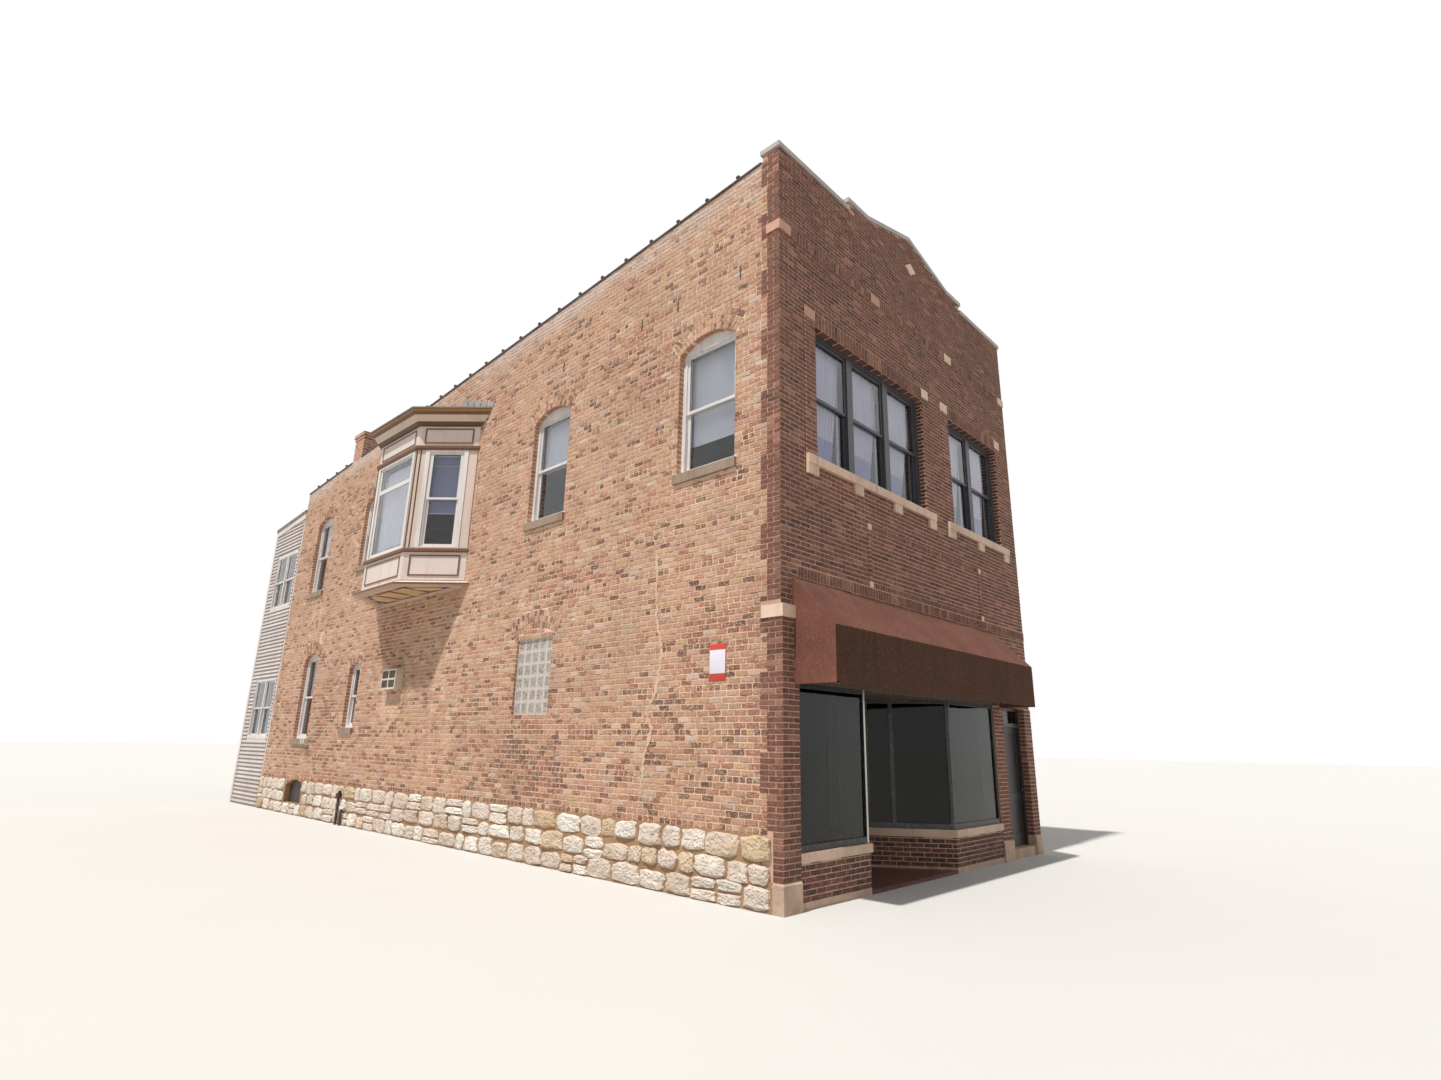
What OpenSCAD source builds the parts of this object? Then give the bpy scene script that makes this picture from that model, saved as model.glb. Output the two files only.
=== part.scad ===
// Two-storey brick corner shop with a canted oriel bay, a stepped gable front and a sided rear porch.
// Millimetres. x runs along the shop front, y runs back from the street, z is up from the pavement.

/* [Plan] */
// Width of the shop front
front_w = 7750; // [7650:10:8200]
// Length of the brick block along the side street
block_d = 17900; // [17850:10:18400]
// Length of the sided porch behind the block
porch_d = 2350; // [2250:10:2800]
// Thickness of the front wall
front_t = 300; // [280:5:340]
// Thickness of the side and rear walls
wall_t = 330; // [300:5:360]
// Thickness of the party wall
party_t = 300; // [280:5:300]

/* [Heights] */
// Top of the slab inside the shop
floor_top = 100; // [80:5:120]
// Ceiling of the shop storey
shop_ceiling = 4600; // [4500:10:4640]
// Top of the upper floor
upper_floor = 4900; // [4860:10:5000]
// Top of the coping at both shoulders of the front
shoulder_top = 10450; // [10440:10:10600]
// Top of the two steps beside the gable
step_top = 10620; // [10600:10:10660]
// Peak of the front gable
peak_top = 11010; // [10900:10:11200]
// Top of the side coping just behind the front wall
side_top_front = 10330; // [10200:10:10340]
// Top of the side coping at the rear corner
side_top_rear = 8950; // [8900:10:9050]
// How far the roof deck lies below the side coping
parapet_h = 530; // [450:10:540]
// Thickness of the roof deck
roof_t = 250; // [200:10:260]

/* [Gable] */
// Distance of each step from its side wall
step_x = 1855; // [1800:5:1900]
// Distance of each gable foot from its side wall
gable_x = 2440; // [2350:5:2550]
// Thickness of the front coping stones
coping_t = 80; // [60:5:90]
// How far the front coping stands out of the wall
coping_over = 30; // [20:5:40]
// Height of the tile coping on the side walls
tile_h = 90; // [70:5:100]
// How far the tile coping stands out of the side walls
tile_over = 25; // [15:5:35]

/* [Shop front] */
// Underside of the beam over the shop front
head_z = 2580; // [2560:5:2600]
// Underside of the front wall
front_wall_z = 2720; // [2700:5:2750]
// Width of the corner pier
corner_w = 330; // [310:5:330]
// How far the corner pier stands out
corner_proud = 25; // [15:5:30]
// Underside of the cap stone on the corner pier
cap_z = 3360; // [3300:10:3400]
// Height of the cap stone
cap_h = 160; // [140:5:180]
// Left edge of the second pier
pier_x = 6050; // [6000:10:6100]
// Width of the second pier
pier_w = 400; // [380:5:420]
// Height of the stone blocks under the piers
block_h = 330; // [300:10:350]
// How far the base blocks stand out
block_proud = 30; // [15:5:40]
// Height of the stone course under the bulkheads
plinth_h = 80; // [60:5:100]
// Thickness of the bulkheads
bulkhead_t = 150; // [130:5:170]
// Underside of the bulkhead sill
shop_sill_z = 510; // [480:5:530]
// Height of the bulkhead sill
shop_sill_h = 110; // [90:5:120]
// Bottom rail of the display windows
rail_h = 80; // [60:5:90]
// Top rail of the display windows
top_rail_h = 60; // [50:5:70]
// Width of the display window posts
post_w = 60; // [50:5:70]
// Depth of the display window bars
bar_t = 60; // [50:2:70]
// Thickness of the shop glass
shop_glass_t = 10; // [8:1:12]
// Centre of the recessed entry
entry_cx = 3100; // [3050:10:3150]
// Half of the entry's width at the street
entry_half_front = 1230; // [1200:10:1260]
// Half of the entry's width at the door
entry_half_back = 460; // [450:5:480]
// Depth of the recessed entry
entry_d = 1100; // [1050:10:1200]
// Length of the longer pane beside the entry
long_pane = 890; // [850:10:920]

/* [Shop door] */
// Thickness of the shop door
shop_door_t = 45; // [40:1:50]
// Width of its stiles
shop_door_stile = 110; // [100:5:120]
// Height of the door
shop_door_h = 2080; // [2050:10:2120]

/* [Street door to the upper floor] */
// Top of the stone threshold
threshold_z = 160; // [140:5:180]
// Depth of the reveal in front of the door frame
door_reveal = 120; // [100:5:130]
// Width of the door frame's posts
door_post = 50; // [45:1:60]
// Thickness of the door
door_t = 45; // [40:1:50]
// Top of the door
door_top = 2240; // [2220:5:2260]
// Running gap round the door
door_gap = 5; // [5:1:8]
// Height of the transom bar
transom_bar = 60; // [50:5:70]

/* [Awning] */
// Left end of the awning
awning_x = 235; // [235:5:250]
// Width of the awning
awning_w = 6095; // [6000:10:6150]
// How far the awning reaches over the pavement
awning_reach = 640; // [600:10:700]
// Lower edge of the awning
awning_low = 2550; // [2520:5:2560]
// Top of the awning's front panel
awning_lip = 3240; // [3200:10:3280]
// Top of the awning on the wall
awning_high = 3900; // [3800:10:3900]
// Thickness of the stretched cover, thicker than real cloth
awning_t = 12; // [8:1:15]
// Width of the square frame tubes
tube_w = 25; // [20:1:30]

/* [Front windows] */
// Underside of the upper front windows
front_win_sill = 5680; // [5640:10:5720]
// Height of the upper front windows
front_win_h = 2050; // [1980:10:2060]
// Left edge of the triple window
triple_x = 810; // [790:10:830]
// Width of the triple window
triple_w = 3190; // [3150:10:3200]
// Distance of the double window from the party side
double_gap = 680; // [660:10:700]
// Width of the double window
double_w = 2090; // [2060:10:2100]
// Width of the brick border beside the windows
border_w = 240; // [200:10:250]
// How far the brick border stands out
border_proud = 20; // [12:1:25]
// Height of the stone sills
front_sill_h = 130; // [110:5:140]
// How far the stone sills stand out
sill_proud = 60; // [50:5:80]
// Height of the blocks under the sills
corbel_h = 150; // [130:5:160]
// How far the accent stones stand out
stone_proud = 25; // [18:1:28]

/* [Front brickwork] */
// Distance of the brick panel from the corner
panel_left = 2070; // [2000:10:2100]
// Distance of the brick panel from the party side
panel_right = 1830; // [1800:10:1900]
// Underside of the panel
panel_z = 4060; // [4040:10:4100]
// Height of the panel
panel_h = 970; // [940:10:990]
// Width of the panel's border
panel_edge = 90; // [80:5:110]
// Height of the upright course under the panel
soldier_h = 150; // [130:5:155]
// Height of the upright course over the windows
window_soldier_h = 250; // [220:5:260]
// Height of the stones at the window heads
border_stone_h = 170; // [150:5:180]
// Underside of the band below the gable
belt_z = 8950; // [8900:10:9000]
// Height of the band
belt_h = 150; // [130:5:160]
// Length of each stone in the band
belt_stone_l = 250; // [220:5:260]
// Height of the middle of the gable stone
lozenge_z = 10325; // [10280:5:10350]
// Width of the gable stone
lozenge_w = 360; // [320:10:400]
// Height of the gable stone
lozenge_h = 240; // [200:10:260]

/* [Side windows] */
// Distance of each upper window from the front
upper_win_y = [800, 4760, 12500, 15600];
// Width of each upper window
upper_win_w = [1150, 1120, 950, 1050];
// Underside of each upper window
upper_win_sill = [5650, 5650, 5970, 5650];
// Springing line of the upper arches
upper_win_spring = 7620; // [7580:10:7680]
// Distance of each lower window from the front
lower_win_y = [12380, 15100];
// Width of each lower window
lower_win_w = [620, 930];
// Underside of each lower window
lower_win_sill = [2060, 1800];
// Springing line of each lower arch
lower_win_spring = [3440, 3800];
// Rise of the arches as a share of their width
arch_rise = 0.17; // [0.14:0.01:0.20]
// Height of the side sills
side_sill_h = 140; // [120:5:150]
// How far the side sills stand out
side_sill_proud = 50; // [40:5:60]
// Reveal in front of the side windows
side_reveal = 90; // [70:5:110]

/* [Sash windows] */
// Depth of a window frame
frame_d = 120; // [110:5:130]
// Width of a window frame
frame_w = 70; // [60:5:80]
// Width of a sash bar
stile_w = 45; // [40:1:55]
// Thickness of a sash
sash_t = 35; // [30:1:40]
// Width of the mullions in the front windows
mullion_w = 150; // [120:5:170]
// Thickness of window glass
glass_t = 6; // [4:1:8]

/* [Glass block window] */
// Distance from the front
block_win_y = 4780; // [4740:10:4820]
// Underside of the glass blocks
block_win_z = 2260; // [2200:10:2300]
// Size of one glass block with its joint
glass_block = 210; // [200:1:216]
// Blocks in a row
block_cols = 5; // [4:1:6]
// Rows of blocks
block_rows = 6; // [5:1:7]

/* [Oriel bay] */
// Centre of the oriel from the front
oriel_cy = 9860; // [9800:10:9900]
// Half of its width on the wall
oriel_half_wall = 1900; // [1850:10:1950]
// Half of its flat front
oriel_half_front = 925; // [900:5:950]
// How far the oriel stands out
oriel_out = 850; // [800:10:900]
// Underside of the oriel
oriel_low = 4770; // [4740:10:4800]
// Underside of the oriel windows
oriel_sill = 5550; // [5500:10:5600]
// Top of the oriel windows
oriel_head = 7650; // [7600:10:7680]
// Underside of the oriel cornice
oriel_cornice_z = 8200; // [8180:10:8220]
// Top of the oriel cornice
oriel_eave = 8500; // [8480:10:8520]
// Rise of the oriel roof to the wall
oriel_rise = 380; // [300:10:400]
// Thickness of the oriel's walls
oriel_t = 90; // [80:5:100]
// Width of the oriel's corner posts beside the front light
oriel_post = 130; // [110:5:150]
// Width of the boards beside the slanting lights of the oriel
oriel_side_post = 270; // [200:5:290]
// Width of the casings round the oriel windows
oriel_casing = 75; // [60:5:90]
// Width of the strips that frame the oriel's panels
oriel_strip = 30; // [25:1:40]
// Reach of the flared skirt under the oriel
oriel_skirt = 150; // [120:5:160]
// Reach of the oriel's eave
oriel_overhang = 240; // [220:5:250]

/* [Foundation and basement window] */
// Top of the stone foundation
base_z = 820; // [810:5:850]
// How far the foundation stands out
base_proud = 20; // [10:1:25]
// Distance of the basement window from the front
cellar_y = 14820; // [14800:10:14850]
// Width of the basement window
cellar_w = 1110; // [1050:10:1120]
// Underside of the basement window
cellar_sill = 260; // [240:10:280]
// Springing line of its brick arch
cellar_spring = 690; // [670:5:700]

/* [Chimney] */
// Distance of the chimney from the front
chimney_y = 14320; // [14300:10:14350]
// Length of the chimney along the wall
chimney_l = 560; // [540:10:600]
// Width of the chimney across the wall
chimney_w = 550; // [500:10:600]
// Top of the chimney's brickwork
chimney_top = 9800; // [9700:10:10000]
// Height of the chimney cap
chimney_cap = 100; // [80:5:120]
// Height of the ledge course under it
chimney_ledge = 70; // [60:5:80]

/* [Porch] */
// Top of the porch roof on the block
porch_high = 8380; // [8300:10:8400]
// Top of the porch roof at its rear eave
porch_low = 8180; // [8150:10:8250]
// Thickness of the porch walls
porch_t = 120; // [100:5:140]
// Overhang of the porch roof
porch_over = 40; // [30:5:60]
// Underside of the upper porch windows
porch_upper_sill = 5530; // [5500:10:5600]
// Underside of the lower porch windows
porch_lower_sill = 1800; // [1750:10:1850]
// Height of the porch windows
porch_win_h = 1660; // [1600:10:1700]
// Distance of the porch side windows from the block
porch_win_gap = 170; // [150:10:200]
// Width of a pair of porch windows
porch_win_w = 1700; // [1600:10:1750]
// Distance of the porch rear windows from the side walls
porch_rear_gap = 1100; // [1000:10:1200]

/* [Air conditioner] */
// Distance from the front
cooler_y = 10100; // [10050:10:10150]
// Underside of the unit
cooler_z = 2840; // [2800:10:2880]
// Length of the unit along the wall
cooler_l = 680; // [640:10:700]
// Height of the unit
cooler_h = 420; // [400:10:440]
// How far the unit stands out
cooler_out = 170; // [150:10:200]

/* [Wall fittings] */
// Distance from the front and underside of each wall anchor
anchors = [[720, 8450], [2040, 8450], [2900, 8450], [5080, 8450], [15600, 4650]];
// Length of an anchor bar
anchor_l = 200; // [180:5:220]
// Distance of the standpipe from the front
pipe_y = 12340; // [12300:10:12360]
// Height of the standpipe's outlet
pipe_h = 700; // [650:10:740]
// Height of the short pipe beside it
stub_h = 330; // [300:10:400]
// Distance between the two pipes
stub_gap = 250; // [200:10:300]
// Radius of both pipes
pipe_r = 25; // [20:1:30]
// Distance of the twin lamp from the front
lamp_y = 14930; // [14900:10:14960]
// Underside of the twin lamp
lamp_z = 1680; // [1640:10:1720]

/* [Hidden] */

brick_front = [0.36, 0.2, 0.16];
brick_side = [0.72, 0.53, 0.4];
stone_pale = [0.76, 0.65, 0.56];
rubble_pale = [0.85, 0.8, 0.7];
trim_white = [0.93, 0.92, 0.88];
trim_cream = [0.92, 0.87, 0.76];
trim_dark = [0.16, 0.16, 0.17];
glass_tint = [0.6, 0.7, 0.75, 0.4];

// How far one solid of a piece runs into the next
lap = 2;
// Joint under the pieces that lie on a slope or in an arch
bed = 0.1;
// Play of a glass sheet in its frame
glass_play = 0.3;

total_d = block_d + porch_d;
side_run = block_d - front_t;
side_slope = (side_top_front - side_top_rear) / side_run;
side_angle = atan(side_slope);
double_x = front_w - double_gap - double_w;
belt_stones = [0, gable_x, front_w - gable_x - belt_stone_l - 10, front_w - belt_stone_l];
panel_w = front_w - panel_left - panel_right;
corner_block_l = 124;
arch_edge = 100;
door_x = pier_x + pier_w;
door_w = front_w - party_t - door_x;
shop_glass_z = shop_sill_z + shop_sill_h + rail_h;
shop_glass_top = head_z - top_rail_h;
left_path = [[corner_w, 0], [entry_cx - entry_half_front, 0], [entry_cx - entry_half_back, entry_d]];
right_path = [[entry_cx + entry_half_back, entry_d], [entry_cx + entry_half_front, 0], [pier_x, 0]];
oriel_path = [[0, oriel_cy + oriel_half_wall], [-oriel_out, oriel_cy + oriel_half_front],
    [-oriel_out, oriel_cy - oriel_half_front], [0, oriel_cy - oriel_half_wall]];

// Height of the side coping's top at a distance y from the front
function side_top(y) = side_top_front - side_slope * (y - front_t);
// Height of the brickwork under it, and of the roof deck
function wall_top(y) = side_top(y) - tile_h;
function deck_top(y) = side_top(y) - parapet_h;
// Top of the porch roof at a distance y from the front
function porch_top(y) = porch_high - (porch_high - porch_low) * (y - block_d) / porch_d;
// Rise of a segmental arch over an opening of width w
function rise_of(w) = arch_rise * w;

// Plan outlines that follow a path, t to its left; an end keeps coordinate k, or is cut square when k is -1
function unit(v) = v / norm(v);
function left_of(u) = [-u[1], u[0]];
function end_point(p, u, t, k) =
    k < 0 ? p + t * left_of(u) : p + t * left_of(u) - u * (t * left_of(u)[k] / u[k]);
function shifted(path, i, t, k0, k1) =
    i == 0 ? end_point(path[0], unit(path[1] - path[0]), t, k0)
    : i == len(path) - 1 ? end_point(path[i], unit(path[i] - path[i - 1]), t, k1)
    : let (a = left_of(unit(path[i] - path[i - 1])), b = left_of(unit(path[i + 1] - path[i])))
        path[i] + (a + b) * t / (1 + a * b);
function line(path, t, k0 = -1, k1 = -1) = [for (i = [0 : len(path) - 1]) shifted(path, i, t, k0, k1)];
function backwards(list) = [for (i = [len(list) - 1 : -1 : 0]) list[i]];
function band(path, t0, t1, k0 = -1, k1 = -1) =
    concat(line(path, t0, k0, k1), backwards(line(path, t1, k0, k1)));
// The point s along the way from a to b
function along(a, b, s) = a + unit(b - a) * s;

// The building stands with the middle of its footprint on the origin
module placed() {
    translate([-front_w / 2, -total_d / 2, 0])
        children();
}

// An outline drawn in x and z, made t thick behind y0
module xz(y0, t) {
    translate([0, y0 + t, 0])
        rotate([90, 0, 0])
            linear_extrude(t)
                children();
}

// An outline drawn in y and z, made t thick beside x0
module yz(x0, t) {
    translate([x0, 0, 0])
        rotate([90, 0, 90])
            linear_extrude(t)
                children();
}

// An outline in plan between two heights
module storey(z0, z1) {
    translate([0, 0, z0])
        linear_extrude(z1 - z0)
            children();
}

// Puts the local x axis along a wall face from a to b, with local y going into the building
module on_face(a, b) {
    translate([a[0], a[1], 0])
        rotate([0, 0, atan2(b[1] - a[1], b[0] - a[0])])
            children();
}

// A rectangle with a segmental arch on top
module arched(w, spring, rise) {
    steps = 16;
    radius = (w * w / 4 + rise * rise) / (2 * rise);
    half_angle = asin(w / 2 / radius);
    arc = [for (i = [0 : steps]) let (a = half_angle * (1 - 2 * i / steps))
        [w / 2 + radius * sin(a), spring + rise - radius + radius * cos(a)]];
    polygon(concat([[0, 0], [w, 0]], arc));
}

// A flat border of the given width round the inside of a rectangle
module border_2d(w, h, edge) {
    difference() {
        square([w, h]);
        translate([edge, edge])
            square([w - 2 * edge, h - 2 * edge]);
    }
}

// Two sashes of a double-hung window; the upper one is outside, and they lap at the meeting rail
module sashes(w, h) {
    half = (h + stile_w) / 2;
    translate([0, 0, h - half])
        xz(0, sash_t)
            border_2d(w, half, stile_w);
    xz(sash_t, sash_t)
        border_2d(w, half, stile_w);
}

module sash_panes(w, h) {
    half = (h + stile_w) / 2;
    for (upper = [0, 1])
        translate([stile_w, 0, stile_w + upper * (h - half)])
            xz((1.5 - upper) * sash_t - glass_t / 2, glass_t)
                square([w - 2 * stile_w, half - 2 * stile_w]);
}

// Ground and upper storeys

module ground_floor() {
    edge_l = line(left_path, bulkhead_t, 0, 1);
    edge_r = line(right_path, bulkhead_t, 1, 0);
    color([0.55, 0.5, 0.45])
        placed() {
            storey(0, floor_top)
                polygon(concat(edge_l, edge_r, [[pier_x, front_t], [door_x, front_t],
                    [front_w - party_t, front_t], [front_w - party_t, block_d - wall_t],
                    [wall_t, block_d - wall_t], [wall_t, front_t], [corner_w, front_t]]));
            translate([porch_t, block_d, 0])
                cube([front_w - 2 * porch_t, porch_d - porch_t, floor_top]);
        }
}

module entry_floor() {
    color([0.4, 0.16, 0.13])
        placed()
            storey(0, floor_top / 2)
                polygon(concat([left_path[1], left_path[2]], [right_path[0], right_path[1]]));
}

module second_floor() {
    color([0.6, 0.5, 0.4])
        placed() {
            translate([wall_t, front_t, shop_ceiling])
                cube([front_w - wall_t - party_t, block_d - front_t - wall_t, upper_floor - shop_ceiling]);
            translate([porch_t, block_d, upper_floor - floor_top])
                cube([front_w - 2 * porch_t, porch_d - porch_t, floor_top]);
        }
}

module roof_deck() {
    color([0.3, 0.3, 0.31])
        placed()
            yz(wall_t, front_w - wall_t - party_t)
                polygon([[front_t, deck_top(front_t)], [block_d, deck_top(block_d)],
                    [block_d, deck_top(block_d) - roof_t], [front_t, deck_top(front_t) - roof_t]]);
}

// Masonry

module foundation_wall() {
    color(rubble_pale)
        placed()
            yz(-base_proud, wall_t + base_proud)
                difference() {
                    polygon([[corner_block_l, 0], [block_d, 0], [block_d, base_z], [front_t, base_z],
                        [front_t, block_h], [corner_block_l, block_h]]);
                    translate([cellar_y, cellar_sill])
                        square([cellar_w, base_z]);
                    translate([cellar_y - arch_edge, cellar_spring])
                        square([cellar_w + 2 * arch_edge, base_z]);
                }
}

module left_wall() {
    color(brick_side)
        placed()
            yz(0, wall_t)
                difference() {
                    union() {
                        polygon([[front_t, base_z], [block_d, base_z], [block_d, wall_top(block_d)],
                            [front_t, wall_top(front_t)]]);
                        translate([cellar_y - arch_edge, cellar_spring])
                            square([cellar_w + 2 * arch_edge, base_z - cellar_spring + 1]);
                    }
                    translate([cellar_y, cellar_spring - 1])
                        arched(cellar_w, 1, base_z - cellar_spring);
                    side_openings();
                }
}

// Every hole through the left wall with its sill
module side_openings() {
    for (i = [0 : len(upper_win_y) - 1]) {
        translate([upper_win_y[i], upper_win_sill[i] - 1])
            arched(upper_win_w[i], upper_win_spring - upper_win_sill[i] + 1, rise_of(upper_win_w[i]));
        sill_outline(upper_win_y[i], upper_win_w[i], upper_win_sill[i]);
    }
    for (i = [0 : len(lower_win_y) - 1]) {
        translate([lower_win_y[i], lower_win_sill[i] - 1])
            arched(lower_win_w[i], lower_win_spring[i] - lower_win_sill[i] + 1, rise_of(lower_win_w[i]));
        sill_outline(lower_win_y[i], lower_win_w[i], lower_win_sill[i]);
    }
    translate([block_win_y, block_win_z])
        square([block_cols * glass_block, block_rows * glass_block]);
    translate([cooler_y, cooler_z])
        square([cooler_l, cooler_h]);
    translate([oriel_cy - oriel_room / 2, upper_floor])
        square([oriel_room, oriel_cornice_z - upper_floor]);
}

oriel_room = 2 * (oriel_half_wall - 350);
side_sill_ear = 40;

module sill_outline(y, w, sill) {
    translate([y - side_sill_ear, sill - side_sill_h])
        square([w + 2 * side_sill_ear, side_sill_h]);
}

module party_wall() {
    color(brick_side)
        placed()
            yz(front_w - party_t, party_t)
                polygon([[front_t, 0], [block_d, 0], [block_d, wall_top(block_d)],
                    [front_t, wall_top(front_t)]]);
}

module rear_wall() {
    inner = block_d - wall_t;
    color(brick_side)
        placed()
            yz(wall_t, front_w - wall_t - party_t)
                polygon([[inner, 0], [block_d, 0], [block_d, deck_top(block_d) - roof_t - bed],
                    [inner, deck_top(inner) - roof_t - bed]]);
}

// The stepped gable, less the coping stones
module front_wall() {
    shoulder = shoulder_top - coping_t;
    step = step_top - coping_t;
    color(brick_front)
        placed()
            xz(0, front_t)
                difference() {
                    polygon([[corner_w, front_wall_z], [front_w, front_wall_z], [front_w, shoulder],
                        [front_w - step_x, shoulder], [front_w - step_x, step], [front_w - gable_x, step],
                        [front_w / 2, peak_top - coping_t], [gable_x, step], [step_x, step],
                        [step_x, shoulder], [0, shoulder], [0, cap_z + cap_h], [corner_w, cap_z + cap_h]]);
                    front_opening(triple_x, triple_w);
                    front_opening(double_x, double_w);
                }
}

module front_opening(x, w) {
    translate([x, front_win_sill - 1])
        square([w, front_win_h + 1]);
    translate([x - border_w, front_win_sill - front_sill_h])
        square([w + 2 * border_w, front_sill_h]);
}

module front_coping() {
    step = step_top - coping_t;
    color(stone_pale)
        placed()
            xz(-coping_over, front_t + 2 * coping_over) {
                translate([-coping_over, shoulder_top - coping_t])
                    square([step_x + coping_over, coping_t]);
                translate([front_w - step_x, shoulder_top - coping_t])
                    square([step_x + coping_over, coping_t]);
                polygon([[step_x - coping_over, step], [gable_x, step], [front_w / 2, peak_top - coping_t],
                    [front_w - gable_x, step], [front_w - step_x + coping_over, step],
                    [front_w - step_x + coping_over, step_top], [front_w - gable_x, step_top],
                    [front_w / 2, peak_top], [gable_x, step_top], [step_x - coping_over, step_top]]);
            }
}

// One run of ridged tiles along the top of a side wall
module tile_run(x, w, y0, y1) {
    run = (y1 - y0) / cos(side_angle);
    translate([x, y1, wall_top(y1) + bed])
        rotate([-side_angle, 0, 0])
            rotate([90, 0, 0])
                linear_extrude(run)
                    polygon([[-tile_over, 0], [w + tile_over, 0], [w + tile_over, tile_h / 3],
                        [w / 2, tile_h], [-tile_over, tile_h / 3]]);
}

module side_coping() {
    start = front_t + coping_over;
    tile_gap = 8;
    color([0.25, 0.17, 0.15])
        placed() {
            tile_run(0, wall_t, start, chimney_y - tile_gap);
            tile_run(0, wall_t, chimney_y + chimney_l + tile_gap, block_d);
            tile_run(front_w - party_t, party_t, start, block_d);
        }
}

// Raised brickwork on the front: window borders, the panel between the floors and the band
module brick_borders() {
    color(brick_front * 0.85)
        placed() {
            xz(-border_proud, border_proud) {
                window_border(triple_x, triple_w);
                window_border(double_x, double_w);
            }
            xz(-border_proud / 2, border_proud / 2) {
                translate([corner_w, panel_z - soldier_h])
                    square([front_w - corner_w, soldier_h]);
                difference() {
                    translate([panel_left, panel_z])
                        border_2d(panel_w, panel_h, panel_edge);
                    panel_corners();
                }
                for (i = [0 : len(belt_stones) - 2])
                    translate([belt_stones[i] + belt_stone_l, belt_z])
                        square([belt_stones[i + 1] - belt_stones[i] - belt_stone_l, belt_h]);
            }
        }
}

module window_border(x, w) {
    head = front_win_sill + front_win_h;
    side_h = head + window_soldier_h - border_stone_h - front_win_sill;
    for (edge = [x - border_w, x + w])
        translate([edge, front_win_sill])
            square([border_w, side_h]);
    translate([x, head])
        square([w, window_soldier_h]);
}

module panel_corners() {
    for (x = [panel_left, panel_left + panel_w - panel_edge], z = [panel_z, panel_z + panel_h - panel_edge])
        translate([x, z])
            square([panel_edge, panel_edge]);
}

module accent_stones() {
    head = front_win_sill + front_win_h;
    return_l = 220;
    color(stone_pale)
        placed() {
            xz(-stone_proud, stone_proud) {
                for (win = [[triple_x, triple_w], [double_x, double_w]])
                    for (edge = [win[0] - border_w, win[0] + win[1]])
                        translate([edge, head + window_soldier_h - border_stone_h])
                            square([border_w, border_stone_h]);
                for (x = belt_stones)
                    translate([x, belt_z])
                        square([belt_stone_l, belt_h]);
                panel_corners();
                translate([front_w / 2, lozenge_z])
                    polygon([[-lozenge_w / 2, 0], [0, -lozenge_h / 2], [lozenge_w / 2, 0],
                        [0, lozenge_h / 2]]);
            }
            translate([-stone_proud, -stone_proud, belt_z])
                cube([stone_proud, stone_proud + return_l, belt_h]);
            translate([-corner_proud, -2 * corner_proud, cap_z])
                cube([corner_w + corner_proud, front_t + 2 * corner_proud, cap_h]);
        }
}

module front_sills() {
    color(stone_pale)
        placed() {
            front_sill(triple_x, triple_w, [0, 1 / 3, 2 / 3, 1]);
            front_sill(double_x, double_w, [0, 1 / 2, 1]);
            storey(shop_sill_z, shop_sill_z + shop_sill_h) {
                polygon(band(left_path, -block_proud, bulkhead_t, 0, 1));
                polygon(band(right_path, -block_proud, bulkhead_t, 1, 0));
            }
        }
}

// A stone sill carried on small blocks at the given shares of its length
module front_sill(x, w, shares) {
    start = x - border_w;
    len = w + 2 * border_w;
    translate([start, -sill_proud, front_win_sill - front_sill_h])
        cube([len, front_t + sill_proud, front_sill_h]);
    for (share = shares)
        translate([start + share * (len - border_w), -sill_proud + 15,
                front_win_sill - front_sill_h - corbel_h])
            cube([border_w, sill_proud - 15, corbel_h]);
}

module corner_pier() {
    color(brick_front)
        placed()
            translate([0, -corner_proud, block_h])
                cube([corner_w, front_t + corner_proud, cap_z - block_h]);
}

module door_piers() {
    color(brick_front)
        placed()
            for (pier = [[pier_x, pier_w], [front_w - party_t, party_t]])
                translate([pier[0], 0, block_h])
                    cube([pier[1], front_t, head_z - block_h]);
}

// Side view of a base stone from a to b, bevelled along its outer top edge
module bevelled(a, b) {
    bevel = 20;
    polygon([[a, 0], [b, 0], [b, block_h], [a + bevel, block_h], [a, block_h - bevel]]);
}

// Stone blocks under the piers, the course under the bulkheads and the threshold
module base_stones() {
    corner_face = -corner_proud - base_proud;
    color(stone_pale)
        placed() {
            intersection() {
                yz(-base_proud, corner_w + base_proud)
                    bevelled(corner_face, corner_block_l);
                xz(corner_face, corner_block_l - corner_face)
                    bevelled(-base_proud, corner_w);
            }
            for (pier = [[pier_x, pier_w], [front_w - party_t, party_t]])
                yz(pier[0], pier[1])
                    bevelled(-block_proud, front_t);
            translate([door_x, 0, 0])
                cube([door_w, front_t, threshold_z]);
            storey(0, plinth_h) {
                polygon(band(left_path, 0, bulkhead_t, 0, 1));
                polygon(band(right_path, 0, bulkhead_t, 1, 0));
            }
        }
}

// Shop front

module shop_bulkheads() {
    color(brick_front)
        placed()
            storey(plinth_h, shop_sill_z) {
                polygon(band(left_path, 0, bulkhead_t, 0, 1));
                polygon(band(right_path, 0, bulkhead_t, 1, 0));
            }
}

module storefront_header() {
    color([0.6, 0.5, 0.38])
        placed()
            translate([corner_w, bar_in, head_z])
                cube([front_w - corner_w, front_t - bar_in, front_wall_z - head_z]);
}

bar_in = 15;

// The posts at both ends of a display bay and at its corner
module display_posts(path, k0, k1) {
    polygon(band([path[0], along(path[0], path[1], post_w)], bar_in, bar_in + bar_t, k0, -1));
    polygon(band([along(path[2], path[1], post_w), path[2]], bar_in, bar_in + bar_t, -1, k1));
    polygon(band([along(path[1], path[0], post_w), path[1], along(path[1], path[2], post_w)],
        bar_in, bar_in + bar_t));
}

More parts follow.
